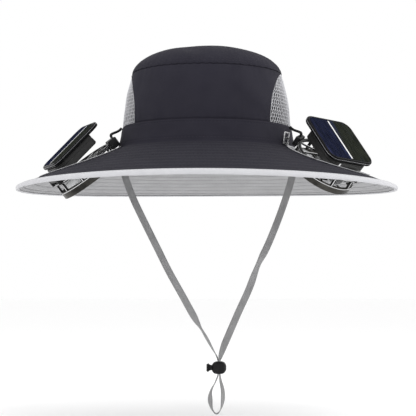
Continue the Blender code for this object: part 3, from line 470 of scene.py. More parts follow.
def net_mesh(middle):
    """Hexagons over the arch, laid on the crown's wall."""
    mesh = bmesh.new()
    known = {}
    radius = NET_PITCH / math.sqrt(3.0)
    wall_height = TIP_SEAM_HEIGHT - WALL_FOOT_HEIGHT
    arc = NET_HALF_ANGLE * CROWN_BAND_HALF_WIDTH * 1.08
    row_pitch = 1.5 * radius

    def corner_at(x, z):
        key = (round(x / radius * 4.0), round(z / radius * 4.0))
        if key not in known:
            level = min(max(z / wall_height, 0.0), 1.0)
            limit = net_half_angle(level)
            angle = max(-limit, min(limit, x / arc * NET_HALF_ANGLE))
            known[key] = mesh.verts.new(wall_place(middle + angle, level, NET_INSET))
        return known[key]

    turns = [math.pi / 6.0 + corner * math.pi / 3.0 for corner in range(6)]
    for row in range(int(wall_height / row_pitch) + 1):
        for column in range(-int(arc / NET_PITCH) - 1, int(arc / NET_PITCH) + 2):
            x = (column + 0.5 * (row % 2)) * NET_PITCH
            z = row * row_pitch
            share = z / wall_height
            if share > 0.99 or abs(x) > net_half_angle(share) * arc / NET_HALF_ANGLE + 0.2 * NET_PITCH:
                continue
            corners = [corner_at(x + radius * math.cos(turn), z + radius * math.sin(turn)) for turn in turns]
            corners = list(dict.fromkeys(corners))
            if len(corners) > 2:
                mesh.faces.new(corners)
    return mesh


for net_name, middle in (("net_panel_left", -math.pi / 2.0), ("net_panel_right", math.pi / 2.0)):
    def inner_face(u, v, middle=middle):
        share, inset = tucked(0.985 * v)
        angle = middle + (2.0 * u - 1.0) * net_half_angle(share)
        return wall_place(angle, share, max(NET_INSET + NET_DEPTH, inset))
    data = bpy.data.meshes.new(f"{net_name}_mesh")
    mesh = net_mesh(middle)
    mesh.to_mesh(data)
    mesh.free()
    net = linked(f"{net_name}_yarn", data)
    altered(net, "WIREFRAME", thickness=NET_YARN, use_even_offset=False, use_boundary=True)
    net.data.materials.append(net_yarn.material)
    lining = cloth(f"{net_name}_inner_face", 48, 40, inner_face, 0.3 * MM, hole_shade_lining)
    select_only(net, lining)
    bpy.ops.object.join()
    dressed(net, net_name, "net_cloth")


# Stitching
# Thread of the cloth's own colour. Each stitch is a short spindle that sinks into the cloth at both
# ends, and a row is one piece.
THREAD_RADIUS = 0.24 * MM
STITCH = 2.6 * MM
STITCH_GAP = 0.9 * MM
dark_thread = Surface("dark_thread", (0.034, 0.032, 0.044), 0.7, Specular_IOR_Level=0.2)
pale_thread = Surface("pale_thread", (0.42, 0.42, 0.44), 0.7, Specular_IOR_Level=0.2)
for thread in (dark_thread, pale_thread):
    thread.grain(2500.0, 0.08 * MM)


def stitches(name, lines, surface):
    """Rows of stitches along lines; a line is (points, outward direction at each point)."""
    vertices = []
    faces = []
    for points, normals in lines:
        lengths = [0.0]
        for first, second in zip(points, points[1:]):
            lengths.append(lengths[-1] + (second - first).length)
        count = max(int(lengths[-1] / (STITCH + STITCH_GAP)), 1)
        index = 0
        for number in range(count):
            ends = []
            for offset in (0.0, 0.5, 1.0):
                wanted = lengths[-1] * number / count + STITCH * offset
                while index < len(points) - 2 and lengths[index + 1] < wanted:
                    index += 1
                share = (wanted - lengths[index]) / max(lengths[index + 1] - lengths[index], 1e-9)
                ends.append((points[index].lerp(points[index + 1], share),
                             normals[index].lerp(normals[index + 1], share).normalized()))
            (start, up), (centre, _), (end, _) = ends
            along = (end - start).normalized()
            side = along.cross(up)
            base = len(vertices)
            vertices.append(start - up * 0.4 * THREAD_RADIUS)
            for turn in range(4):
                angle = math.tau * turn / 4.0
                vertices.append(centre + side * (1.1 * THREAD_RADIUS * math.cos(angle))
                                + up * THREAD_RADIUS * (math.sin(angle) + 0.25))
            vertices.append(end - up * 0.4 * THREAD_RADIUS)
            for turn in range(4):
                following = (turn + 1) % 4
                faces.append((base, base + 1 + following, base + 1 + turn))
                faces.append((base + 5, base + 1 + turn, base + 1 + following))
    piece = from_faces(name, vertices, faces, surface)
    piece.data.shade_smooth()
    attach(piece, "root")


def row_of(place, count):
    """Points and outward directions of a line on a surface; place(t, lift) gives its points."""
    steps = [index / count for index in range(count + 1)]
    points = [place(t, 0.0) for t in steps]
    return points, [(place(t, MM) - point).normalized() for t, point in zip(steps, points)]


crown_rows = []
for offset in (0.018, 0.05):
    crown_rows.append(row_of(lambda t, lift, offset=offset:
                             dome_place(math.tau * t, (1.0 - offset) ** TIP_ROW_POWER)
                             + Vector((0.0, 0.0, lift)), 240))
for middle in (-math.pi / 2.0, math.pi / 2.0):
    def seam_row(t, lift, middle=middle):
        turn = math.pi * t
        share = min(math.sin(turn) * 0.97 + 0.012, 0.985)
        reach = net_half_angle(math.sin(turn) * 0.97) + 2.4 * MM / CROWN_BAND_HALF_WIDTH
        return wall_place(middle + math.copysign(reach, math.cos(turn)), share, -lift)
    crown_rows.append(row_of(seam_row, 120))
stitches("crown_stitching", crown_rows, dark_thread)


# Band
# A doubled strip of the charcoal cloth round the foot of the crown. It flares to meet the brim, and
# carries a row of stitching near each edge.
BAND_WALL = 1.9 * MM
BAND_FLARE_POWER = 1.4
BAND_TUCK = 0.1
BAND_ROWS = (0.12, 0.86)
BAND_ROW_WIDTH = 0.035


def band_place(angle, share, lift=0.0):
    height = BAND_FOOT_HEIGHT + (BAND_TOP_HEIGHT - BAND_FOOT_HEIGHT) * share
    half = CROWN_BAND_HALF_WIDTH + (CROWN_FOOT_HALF_WIDTH - CROWN_BAND_HALF_WIDTH) * (
        (1.0 - share) ** BAND_FLARE_POWER)
    slack = (0.45 * soft_round(angle, 5.0, share * 1.5, 7.0) + 0.2 * math.sin(angle * 40.0 + 3.0 * share)
             * soft_round(angle, 3.0, 4.0)) * math.sin(math.pi * max(share, 0.0)) ** 0.5
    channel = 0.35 * sum(math.exp(-((share - row) / BAND_ROW_WIDTH) ** 2) for row in BAND_ROWS)
    rolled = 0.8 * math.exp(-((1.0 - share) / 0.05) ** 2) + 0.5 * math.exp(-(share / 0.05) ** 2)
    return (crown_point(half, angle, height)
            + outward(angle) * ((slack - channel - rolled + 0.4) * MM + lift))


def band_face(u, v):
    """The lowest row goes down into the brim's seam."""
    return band_place(math.tau * u, v - BAND_TUCK * (1.0 - v))


band = cloth("band_cloth", 240, 26, band_face, BAND_WALL, taslan, round_about=True)
dressed(band, "hat_band", "charcoal_cloth")
band_rows = []
for share in BAND_ROWS:
    band_rows.append(row_of(lambda t, lift, share=share: band_place(math.tau * t, share, lift), 240))
stitches("band_stitching", band_rows, dark_thread)


# Brim
# Two plies, charcoal above and light grey below, quilted together by rings of stitching 9.6 mm apart,
# with a pale tape folded round the edge. It droops most at the sides and least at the back.
BRIM_INNER_HALF_WIDTH = 86.0 * MM
BRIM_REACH = 104.0 * MM
BRIM_FRONT_DROP = 37.5 * MM
BRIM_SIDE_DROP = 39.5 * MM
BRIM_BACK_DROP = 32.0 * MM
BRIM_TOP_PLY = 1.3 * MM
BRIM_UNDER_PLY = 1.1 * MM
PLY_GAP = 0.15 * MM
BINDING_WIDTH = 4.2 * MM
BINDING_UNDER_WIDTH = 2.8 * MM
BINDING_WALL = 0.6 * MM
TAPE_SLACK = 0.02 * MM
RING_PITCH = 9.6 * MM
QUILT_DEPTH = 0.55 * MM
CLOTH_END = 1.0 - 1.2 * MM / BRIM_REACH
HOLE_RADIUS_FROM_AXIS = 129.4 * MM
HOLE_AZIMUTH = math.radians(20.5)
HOLE_HALF_LENGTH = 37.4 * MM
HOLE_HALF_WIDTH = 39.2 * MM
HOLE_BINDING_WIDTH = 2.4 * MM
HOLE_BINDING_WALL = 0.7 * MM

brim_cloth = Surface("brim_charcoal", CHARCOAL, 0.85, Specular_IOR_Level=0.2)
brim_threads = weave(brim_cloth, 1.0 * MM)
brim_cloth.tint(brim_threads * 0.25 + brim_cloth.cloudy(45.0) * 0.9 - 0.1, (0.0145, 0.0137, 0.0205),
                (0.0225, 0.0215, 0.031))
brim_cloth.bump(brim_threads + brim_cloth.cloudy(350.0) * 0.6, 0.1 * MM)

under_cloth = Surface("underside_grey", (0.42, 0.42, 0.43), 0.85, Specular_IOR_Level=0.2)
under_threads = weave(under_cloth, 1.0 * MM)
# Painted shade: the grey is darkened along each ring of stitching, where the quilting sinks. The rest of its
# tone varies at random.
ring_share = (under_cloth.along()[1] / RING_PITCH + 0.5).fraction() - 0.5
painted_groove_shade = (ring_share.size() * -9.0 + 1.0).most(0.0)
under_cloth.tint((under_threads * 0.2 + under_cloth.cloudy(60.0) * 0.5 + 0.4) * (1.0 - painted_groove_shade * 0.75),
                 (0.185, 0.185, 0.19), (0.46, 0.46, 0.47))
under_cloth.bump(under_threads + under_cloth.cloudy(350.0) * 0.6, 0.1 * MM)


def brim_drop(angle):
    mean = (BRIM_FRONT_DROP + BRIM_BACK_DROP + 2.0 * BRIM_SIDE_DROP) / 4.0
    tip_drop = (BRIM_FRONT_DROP - BRIM_BACK_DROP) / 2.0
    sides = (BRIM_FRONT_DROP + BRIM_BACK_DROP - 2.0 * BRIM_SIDE_DROP) / 4.0
    return mean + tip_drop * math.cos(angle) + sides * math.cos(2.0 * angle)


def brim_axes(share):
    reach = BRIM_REACH * share
    return BRIM_INNER_HALF_WIDTH + reach, BRIM_INNER_HALF_WIDTH * HEAD_DEPTH_RATIO + reach


def brim_sway(angle, share):
    """Gentle unevenness of the whole brim, the same for both plies."""
    return 0.55 * MM * soft_round(angle, 3.0, share * 1.4, 11.0) * share * (1.0 - share) * 4.0


def quilted(share):
    """The swell between two rings of stitching, 0 on a ring."""
    return abs(math.sin(math.pi * share * BRIM_REACH / RING_PITCH)) ** 0.7


def brim_place(angle, share, lift=0.0):
    half_width, half_depth = brim_axes(share)
    return Vector((half_width * math.sin(angle), -half_depth * math.cos(angle),
                   lift - brim_drop(angle) * share + brim_sway(angle, share)))


def brim_height(x, y):
    low, high = -0.5, 1.5
    for _ in range(30):
        share = (low + high) / 2.0
        half_width, half_depth = brim_axes(share)
        if (x / half_width) ** 2 + (y / half_depth) ** 2 > 1.0:
            low = share
        else:
            high = share
    half_width, half_depth = brim_axes(low)
    angle = math.atan2(x / half_width, -y / half_depth)
    return -brim_drop(angle) * low + brim_sway(angle, min(max(low, 0.0), 1.0))


def hole_axes(side):
    out = Vector((side * math.cos(HOLE_AZIMUTH), -math.sin(HOLE_AZIMUTH), 0.0))
    return out, Vector((-out.y, out.x, 0.0))


def hole_place(side, turn, outset, lift):
    out, along = hole_axes(side)
    place = out * (HOLE_RADIUS_FROM_AXIS + (HOLE_HALF_LENGTH + outset) * math.cos(turn))
    place += along * (HOLE_HALF_WIDTH + outset) * math.sin(turn)
    place.z = brim_height(place.x, place.y) + lift
    return place


def ply_face(up, ply):
    """A ply's outer face; the top's columns run the other way round, so that it looks up."""
    def face(u, v):
        share = v * CLOTH_END
        puff = QUILT_DEPTH * (quilted(share) - 1.0)
        return brim_place(-up * math.tau * u, share, up * (PLY_GAP + ply + puff))
    return face


CUTTER_DEPTH = 40.0 * MM


def cut_hole(piece, side):
    """Cuts the unit's hole through a ply, with a cutter that follows the hole's oval."""
    bpy.ops.mesh.primitive_cylinder_add(vertices=96, radius=1.0, depth=CUTTER_DEPTH)
    cutter = bpy.context.object
    with opened(cutter.data) as mesh:
        for vertex in mesh.verts:
            edge = hole_place(side, math.atan2(vertex.co.y, vertex.co.x), 0.0, 0.0)
            vertex.co = Vector((edge.x, edge.y, edge.z + vertex.co.z))
        mesh.normal_update()
        bmesh.ops.recalc_face_normals(mesh, faces=mesh.faces)
    altered(piece, "BOOLEAN", operation="DIFFERENCE", object=cutter, solver="EXACT")
    bpy.data.objects.remove(cutter)


BRIM_COLUMNS = 180
BRIM_ROWS = 88
for node, up, ply, surface, slot in (
        ("brim_top", 1.0, BRIM_TOP_PLY, brim_cloth, "charcoal_cloth"),
        ("brim_underside", -1.0, BRIM_UNDER_PLY, under_cloth, "grey_cloth")):
    sheet = cloth(f"{node}_cloth", BRIM_COLUMNS, BRIM_ROWS, ply_face(up, ply), ply - QUILT_DEPTH, surface,
                  round_about=True, reach=BRIM_REACH * CLOTH_END)
    for side in (-1.0, 1.0):
        cut_hole(sheet, side)
    dressed(sheet, node, slot)


def in_hole(point, side, margin):
    out, along = hole_axes(side)
    reach = point.dot(out) - HOLE_RADIUS_FROM_AXIS
    offset = point.dot(along)
    return ((reach / (HOLE_HALF_LENGTH + margin)) ** 2 + (offset / (HOLE_HALF_WIDTH + margin)) ** 2) < 1.0


ROW_STEPS = 300
ROW_DEPTH = 0.3 * MM


def brim_rows(lift, up):
    """The rings of stitching, broken where the holes are bound."""
    stretches = []
    ring = RING_PITCH / BRIM_REACH
    share = ring
    while share < CLOTH_END - 0.5 * ring:
        stretches.append([])
        for index in range(ROW_STEPS + 1):
            point = brim_place(math.tau * index / ROW_STEPS + math.pi, share, lift)
            if any(in_hole(point, side, HOLE_BINDING_WIDTH) for side in (-1.0, 1.0)):
                stretches.append([])
            else:
                stretches[-1].append(point)
        share += ring
    upward = Vector((0.0, 0.0, up))
    return [(points, [upward] * len(points)) for points in stretches if len(points) > 3]


stitches("brim_top_stitching", brim_rows(PLY_GAP + BRIM_TOP_PLY - ROW_DEPTH, 1.0), dark_thread)
stitches("brim_underside_stitching", brim_rows(-PLY_GAP - BRIM_UNDER_PLY + ROW_DEPTH, -1.0), pale_thread)


# Bindings
# Near-white tape folded in half round the brim's edge and round both holes. The brim's tape is held
# by one row of stitches close to its inner edge. The fold is full and round, with small puckers on
# the curve.
FOLD_FLAT = 0.36
tape = Surface("binding_tape", (0.76, 0.76, 0.80), 0.7, Sheen_Weight=0.2)
tape_ribs = wave(tape.along()[0], 0.9 * MM)
tape.tint(tape.cloudy(120.0) * 0.8 + tape_ribs * 0.08, (0.50, 0.50, 0.525), (0.61, 0.61, 0.63))
tape.bump(tape_ribs * 0.5 + tape.cloudy(900.0), 0.1 * MM)


def fold_section(v, width, under_width, wall):
    """A point of the folded tape's outer face: how far in from the edge, and how high."""
    top = PLY_GAP + BRIM_TOP_PLY + TAPE_SLACK + wall
    under = PLY_GAP + BRIM_UNDER_PLY + TAPE_SLACK + wall
    middle = (top - under) / 2.0
    half = (top + under) / 2.0
    nose = 0.3 * MM + wall
    if v < FOLD_FLAT:
        return width * (1.0 - v / FOLD_FLAT), top
    if v > 1.0 - FOLD_FLAT:
        return under_width * (1.0 - (1.0 - v) / FOLD_FLAT), -under
    turn = math.pi * (v - FOLD_FLAT) / (1.0 - 2.0 * FOLD_FLAT)
    return -nose * math.sin(turn), middle + half * math.cos(turn)


def tape_piece(name, node, columns, place, width, under_width, wall):
    def face(u, v):
        inset, lift = fold_section(v, width, under_width, wall)
        swell = 0.12 * MM * math.sin(u * math.tau * 90.0 + 4.0 * soft(u * 40.0, 1.0)) * math.sin(math.pi * v)
        lean = -0.25 * MM if v < 0.06 or v > 0.94 else 0.0
        return place(math.tau * u, inset, lift + math.copysign(swell + lean, lift))
    dressed(cloth(name, columns, 22, face, wall * 0.75, tape, round_about=True), node, "binding_tape")


def edge_place(angle, inset, lift):
    return brim_place(-angle, CLOTH_END - inset / BRIM_REACH, lift)


tape_piece("brim_binding_tape", "brim_binding", 260, edge_place, BINDING_WIDTH, BINDING_UNDER_WIDTH,
           BINDING_WALL)
for hole_name, side in (("hole_binding_left", -1.0), ("hole_binding_right", 1.0)):
    def rim_place(angle, inset, lift, side=side):
        return hole_place(side, angle, inset, lift)
    tape_piece(f"{hole_name}_tape", hole_name, 96, rim_place, HOLE_BINDING_WIDTH, HOLE_BINDING_WIDTH,
               HOLE_BINDING_WALL)

binding_rows = []
TAPE_TOP = PLY_GAP + BRIM_TOP_PLY + TAPE_SLACK + BINDING_WALL
TAPE_UNDER = PLY_GAP + BRIM_UNDER_PLY + TAPE_SLACK + BINDING_WALL
for level, direction, width in ((TAPE_TOP, 1.0, BINDING_WIDTH), (-TAPE_UNDER, -1.0, BINDING_UNDER_WIDTH)):
    binding_rows.append(row_of(lambda t, lift, level=level, direction=direction, width=width:
                               edge_place(math.tau * t, width - 1.1 * MM, level + direction * lift),
                               300))
stitches("binding_stitching", binding_rows, pale_thread)


# Fan units
# Each unit is a low round cage that stands in its hole, with a guard over it, a motor and seven
# blades inside, and a panel with its battery box hinged at the outboard end. A unit's own X runs
# outboard, and its Z along the fan's axis; both are read from the joints of the frame.
joints = {joint["name"]: joint for joint in frame["joints"]}
UNIT_NAMES = ("left", "right")
HINGE_X = 31.0 * MM
HINGE_Z = 17.3 * MM
PANEL_OPENING = math.radians(7.5)


def unit_place(suffix):
    """The matrix that takes a piece from the unit's own axes to the hat's."""
    spin = joints[f"fan_{suffix}_spin"]
    up = Vector(spin["axis"]).normalized()
    across = Vector(joints[f"panel_{suffix}_tilt"]["axis"]).normalized()
    out = across.cross(up).normalized()
    turn = Matrix((out, up.cross(out), up)).transposed().to_4x4()
    return Matrix.Translation(Vector(spin["pos_m"])) @ turn


def panel_place(suffix):
    """The same for the panel, whose origin lies on its hinge."""
    return (unit_place(suffix) @ Matrix.Translation((HINGE_X, 0.0, HINGE_Z))
            @ Matrix.Rotation(PANEL_OPENING, 4, "Y"))


def quads(loops, count, closed=False):
    """Faces between each loop of points and the next; closed joins the last loop to the first."""
    faces = []
    for loop in range(loops if closed else loops - 1):
        following = (loop + 1) % loops
        for index in range(count):
            after = (index + 1) % count
            faces.append((loop * count + index, loop * count + after,
                          following * count + after, following * count + index))
    return faces


def turned_ring(name, outer, inner, low, high, rounding, surface, sides=96):
    """A turned ring with all four edges rounded."""
    profile = []
    corners = ((outer - rounding, high - rounding), (inner + rounding, high - rounding),
               (inner + rounding, low + rounding), (outer - rounding, low + rounding))
    for quarter, (radius, height) in enumerate(corners):
        for step in range(4):
            turn = math.radians(90 * quarter + 30 * step)
            profile.append((radius + rounding * math.cos(turn), height + rounding * math.sin(turn)))
    vertices = []
    for side in range(sides):
        angle = -math.tau * side / sides
        vertices += [(radius * math.cos(angle), radius * math.sin(angle), height)
                     for radius, height in profile]
    return from_faces(name, vertices, quads(sides, len(profile), closed=True), surface)


def block(name, low, high, rounding, surface, turn=0.0, segments=3):
    """A moulded bar with rounded edges, turned about the unit's axis."""
    bpy.ops.mesh.primitive_cube_add(size=1.0, location=(0.0, 0.0, 0.0))
    made = bpy.context.object
    made.name = name
    made.data.transform(Matrix.Diagonal((*(Vector(high) - Vector(low)), 1.0)))
    bpy.ops.object.mode_set(mode="EDIT")
    bpy.ops.mesh.select_all(action="SELECT")
    bpy.ops.mesh.bevel(offset=rounding, segments=segments, affect="EDGES")
    bpy.ops.object.mode_set(mode="OBJECT")
    made.data.transform(Matrix.Rotation(turn, 4, "Z")
                        @ Matrix.Translation((Vector(low) + Vector(high)) / 2.0))
    made.data.materials.append(surface.material)
    return made


def even_turns(count):
    """Even turns round the unit's axis, none of them along its X."""
    return [math.pi / count + math.tau * index / count for index in range(count)]


def fitted(node, ending, pieces, place, slot, body="root", angle=40.0):
    """Joins the pieces of one node, each in its own finish, puts them in their place and smooths
    them between their sharp edges."""
    select_only(*pieces)
    if len(pieces) > 1:
        bpy.ops.object.join()
    made = pieces[0]
    made.name = f"{node}_{ending}"
    made.data.transform(place)
    bpy.ops.object.shade_smooth_by_angle(angle=math.radians(angle))
    return dressed(made, node, slot, body)


# Fan cage
# The lower ring, nine posts round it and the six-armed floor that carries the motor, moulded in one
# of black plastic. The ring's outer face is plated, and its edges catch the light.
CAGE_RADIUS = 33.0 * MM
CAGE_WALL = 2.6 * MM
CAGE_RING_LOW = -4.5 * MM
CAGE_RING_HIGH = 3.0 * MM
CAGE_RIB_COUNT = 9
CAGE_RIB_WIDTH = 3.0 * MM
CAGE_SPOKE_COUNT = 6
GUARD_LOW = 11.0 * MM
GUARD_HIGH = 14.0 * MM
SPOKE_WIDTH = 1.7 * MM
MOTOR_RADIUS = 9.5 * MM

satin_black = Surface("satin_black_plastic", (0.008, 0.008, 0.009), 0.42, Specular_IOR_Level=0.18)
satin_black.uneven(90.0, 0.2, 0.32)
satin_black.grain(2400.0, 0.03 * MM)
gunmetal = Surface("gunmetal_plating", (0.03, 0.029, 0.027), 0.3, 0.2, Specular_IOR_Level=0.1)
gunmetal.tint(gunmetal.cloudy(55.0) * 2.2 - 0.7, (0.010, 0.0097, 0.009), (0.075, 0.072, 0.064))
gunmetal.uneven(70.0, 0.2, 0.2)
gunmetal.grain(900.0, 0.03 * MM)
chrome = Surface("chrome_trim", (0.62, 0.62, 0.63), 0.16, 1.0)
chrome.uneven(300.0, 0.12, 0.08)

for suffix in UNIT_NAMES:
    inner = CAGE_RADIUS - CAGE_WALL
    pieces = [turned_ring("ring", CAGE_RADIUS, inner, CAGE_RING_LOW, CAGE_RING_HIGH, 0.7 * MM, gunmetal),
              turned_ring("lower_trim", CAGE_RADIUS + 0.25 * MM, CAGE_RADIUS - 0.5 * MM,
                          CAGE_RING_HIGH - 1.5 * MM, CAGE_RING_HIGH - 0.8 * MM, 0.12 * MM, chrome),
              turned_ring("motor_seat", MOTOR_RADIUS + 1.5 * MM, 2.0 * MM, CAGE_RING_LOW + 0.2 * MM,
                          CAGE_RING_LOW + 1.7 * MM, 0.3 * MM, satin_black)]
    for turn in even_turns(CAGE_RIB_COUNT):
        pieces.append(block("post", (inner + 0.3 * MM, -CAGE_RIB_WIDTH / 2.0, CAGE_RING_HIGH - 1.0 * MM),
                            (CAGE_RADIUS - 0.3 * MM, CAGE_RIB_WIDTH / 2.0, GUARD_LOW - 0.3 * MM),
                            0.4 * MM, satin_black, turn))
        pieces.append(block("post_trim", (CAGE_RADIUS - 0.6 * MM, -0.45 * MM, CAGE_RING_HIGH - 0.8 * MM),
                            (CAGE_RADIUS - 0.05 * MM, 0.45 * MM, GUARD_LOW - 0.5 * MM),
                            0.15 * MM, chrome, turn, 1))
    for turn in even_turns(CAGE_SPOKE_COUNT):
        pieces.append(block("arm", (MOTOR_RADIUS, -SPOKE_WIDTH / 2.0, CAGE_RING_LOW + 0.3 * MM),
                            (inner + 1.0 * MM, SPOKE_WIDTH / 2.0, CAGE_RING_LOW + 1.6 * MM),
                            0.35 * MM, satin_black, turn))
        pieces.append(block("arm_trim", (MOTOR_RADIUS + 2.0 * MM, -SPOKE_WIDTH / 4.0,
                                         CAGE_RING_LOW + 0.1 * MM),
                            (inner, SPOKE_WIDTH / 4.0, CAGE_RING_LOW + 1.8 * MM), 0.1 * MM, chrome, turn, 1))
    fitted(f"fan_cage_{suffix}", "moulding", pieces, unit_place(suffix), "gunmetal_plastic")


# Fan guard
# The top ring, a cap over the hub, ten swept bars and a middle hoop, with two lugs for the hinge
# pin. It is black, with a bright edge along each bar.
GUARD_BARS = 10
GUARD_DISC_RADIUS = 8.0 * MM
SWEEP = math.radians(24.0)
LUG_INNER = 11.6 * MM
LUG_WALL = 3.0 * MM
LUG_FOOT = 28.7 * MM
KNUCKLE_RADIUS = 2.7 * MM
BAR_EDGE_WIDTH = 1.1 * MM
BAR_STEPS = 10


def swept_bar(name, start, end, width, low, high, turn, surface):
    """A bar that runs out from the cap and leans round as it goes."""
    vertices = []
    for index in range(BAR_STEPS + 1):
        share = index / BAR_STEPS
        radius = start + (end - start) * share
        lean = turn + SWEEP * math.sin(math.pi / 2.0 * share)
        out = Vector((math.cos(lean), math.sin(lean), 0.0))
        side = Vector((-out.y, out.x, 0.0)) * width / 2.0
        for offset, height in ((side, low), (side, high), (-side, high), (-side, low)):
            vertices.append(out * radius + offset + Vector((0.0, 0.0, height)))
    ends = [(3, 2, 1, 0), tuple(4 * BAR_STEPS + corner for corner in range(4))]
    return from_faces(name, vertices, quads(BAR_STEPS + 1, 4) + ends, surface)


for suffix in UNIT_NAMES:
    inner = CAGE_RADIUS - CAGE_WALL
    low = GUARD_HIGH - 1.8 * MM
    middle = (GUARD_DISC_RADIUS + inner) / 2.0
    pieces = [turned_ring("guard_ring", CAGE_RADIUS, inner, GUARD_LOW, GUARD_HIGH, 0.6 * MM, satin_black),
              turned_ring("guard_trim", CAGE_RADIUS + 0.2 * MM, CAGE_RADIUS - 0.5 * MM,
                          GUARD_LOW + 1.1 * MM, GUARD_LOW + 1.7 * MM, 0.12 * MM, chrome),
              turned_ring("cap", GUARD_DISC_RADIUS, 0.6 * MM, low - 0.1 * MM, GUARD_HIGH - 0.2 * MM,
                          0.5 * MM, satin_black),
              turned_ring("hoop", middle + 0.8 * MM, middle - 0.8 * MM, low + 0.1 * MM, low + 1.4 * MM,
                          0.3 * MM, satin_black)]
    for turn in even_turns(GUARD_BARS):
        pieces.append(swept_bar("bar", GUARD_DISC_RADIUS - 1.0 * MM, inner + 0.8 * MM, SPOKE_WIDTH, low,
                                low + 1.3 * MM, turn, satin_black))
        for edge in (low + 1.2 * MM, low - 0.2 * MM):
            pieces.append(swept_bar("bar_edge", GUARD_DISC_RADIUS, inner + 0.2 * MM, BAR_EDGE_WIDTH, edge,
                                    edge + 0.3 * MM, turn, chrome))
    for lug_low in (-LUG_INNER - LUG_WALL, LUG_INNER):
        pieces.append(block("lug", (LUG_FOOT, lug_low, GUARD_LOW + 0.6 * MM),
                            (HINGE_X + KNUCKLE_RADIUS, lug_low + LUG_WALL, HINGE_Z + KNUCKLE_RADIUS),
                            0.8 * MM, satin_black))
    fitted(f"fan_guard_{suffix}", "moulding", pieces, unit_place(suffix), "black_plastic")


# Motor
# A small can motor on the cage's floor, with a stepped cap and a steel shaft.
for suffix in UNIT_NAMES:
    floor_level = CAGE_RING_LOW + 2.0 * MM
    pieces = [turned_ring("can", MOTOR_RADIUS, 1.0 * MM, floor_level, 5.2 * MM, 0.8 * MM, gunmetal, 64),
              turned_ring("cap_step", MOTOR_RADIUS - 2.5 * MM, 1.0 * MM, 4.8 * MM, 6.0 * MM, 0.3 * MM,
                          gunmetal, 64),
              turned_ring("shaft", 1.1 * MM, 0.1 * MM, 5.0 * MM, 10.2 * MM, 0.2 * MM, chrome, 24)]
    fitted(f"fan_motor_{suffix}", "can", pieces, unit_place(suffix), "gunmetal_plastic")


# Impeller
# Seven pale blades on a cup that caps the motor. Each blade is thin and hollow-faced, and flattens
# towards its tip.
HUB_RADIUS = 11.6 * MM
IMPELLER_RADIUS = 28.0 * MM
IMPELLER_LOW = 0.8 * MM
IMPELLER_HIGH = 9.4 * MM
BLADE_COUNT = 7
BLADE_WALL = 1.0 * MM

blade_plastic = Surface("pale_blade_plastic", (0.60, 0.61, 0.62), 0.32, Specular_IOR_Level=0.5)
blade_plastic.tint(blade_plastic.cloudy(120.0), (0.50, 0.51, 0.52), (0.68, 0.69, 0.70))
blade_plastic.uneven(80.0, 0.15, 0.22)


def blade_face(turn):
    def face(u, v):
        radius = HUB_RADIUS - 0.8 * MM + (IMPELLER_RADIUS - HUB_RADIUS + 0.8 * MM) * u
        pitch = math.radians(40.0 - 14.0 * u)
        chord = (9.5 + 4.0 * math.sin(math.pi * min(u * 0.8 + 0.1, 1.0))) * MM
        along = (v - 0.5) * chord
        hollow = 1.1 * MM * (1.0 - (2.0 * v - 1.0) ** 2)
        angle = turn + along * math.cos(pitch) / radius
        height = (IMPELLER_LOW + IMPELLER_HIGH) / 2.0 + along * math.sin(pitch) - hollow * math.cos(pitch)
        reach = radius - 1.6 * MM * (2.0 * v - 1.0) ** 4 * u
        return Vector((reach * math.cos(angle), reach * math.sin(angle), height + BLADE_WALL / 2.0))
    return face


for suffix in UNIT_NAMES:
    pieces = [turned_ring("cup_wall", HUB_RADIUS, HUB_RADIUS - 1.4 * MM, IMPELLER_LOW, IMPELLER_HIGH,
                          0.6 * MM, blade_plastic),
              turned_ring("cup_top", HUB_RADIUS - 0.4 * MM, 1.4 * MM, IMPELLER_HIGH - 1.4 * MM, IMPELLER_HIGH,
                          0.4 * MM, blade_plastic)]
    for index in range(BLADE_COUNT):
        pieces.append(cloth("blade", 14, 10, blade_face(math.tau * index / BLADE_COUNT), BLADE_WALL,
                            blade_plastic))
    fitted(f"impeller_{suffix}", "blades", pieces, unit_place(suffix), "pale_plastic", f"impeller_{suffix}")


# Battery box
# A black box under the panel, moulded in two halves with a parting line, with rounded outboard
# corners. The right unit's box has a short bright strip on its outboard end.
BOX_NEAR = 3.9 * MM
BOX_LENGTH = 47.0 * MM
BOX_HALF_WIDTH = 25.0 * MM
BOX_LOW = -0.5 * MM
BOX_HIGH = 10.1 * MM
BOX_END_ROUNDING = 13.0 * MM
BOX_ROUNDING = 4.0 * MM
STRIP_Y = -14.5 * MM
PANEL_OVERHANG = 4.4 * MM
PANEL_SIDE = 60.0 * MM
PANEL_CORNER = 10.5 * MM
PANEL_THICKNESS = 4.4 * MM
PANEL_RIM = 2.4 * MM
PANEL_LOW = BOX_HIGH + 0.3 * MM
PANEL_HIGH = PANEL_LOW + PANEL_THICKNESS
CORNER_STEPS = 8

nickel = Surface("nickel", (0.72, 0.72, 0.73), 0.25, 0.9)
nickel.uneven(400.0, 0.15, 0.15)
box_plastic = Surface("battery_box_plastic", (0.022, 0.022, 0.022), 0.4, Specular_IOR_Level=0.3)
box_plastic.uneven(90.0, 0.2, 0.3)
box_plastic.grain(2200.0, 0.04 * MM)


def rounded(near, length, low_y, high_y, radii):
    """A rectangle with rounded corners, as a function of how far its outline is drawn in; near is
    how far its outboard side lies from the pin."""
    corners = ((-near - length, low_y, 1, 1), (-near, low_y, -1, 1), (-near, high_y, -1, -1),
               (-near - length, high_y, 1, -1))

    def outline(inset):
        points = []
        for number, ((x, y, way_x, way_y), radius) in enumerate(zip(corners, radii)):
            for step in range(CORNER_STEPS + 1):
                turn = math.radians(180.0 + 90.0 * number + 90.0 * step / CORNER_STEPS)
                points.append((x + way_x * radius + (radius - inset) * math.cos(turn),
                               y + way_y * radius + (radius - inset) * math.sin(turn)))
        return points
    return outline


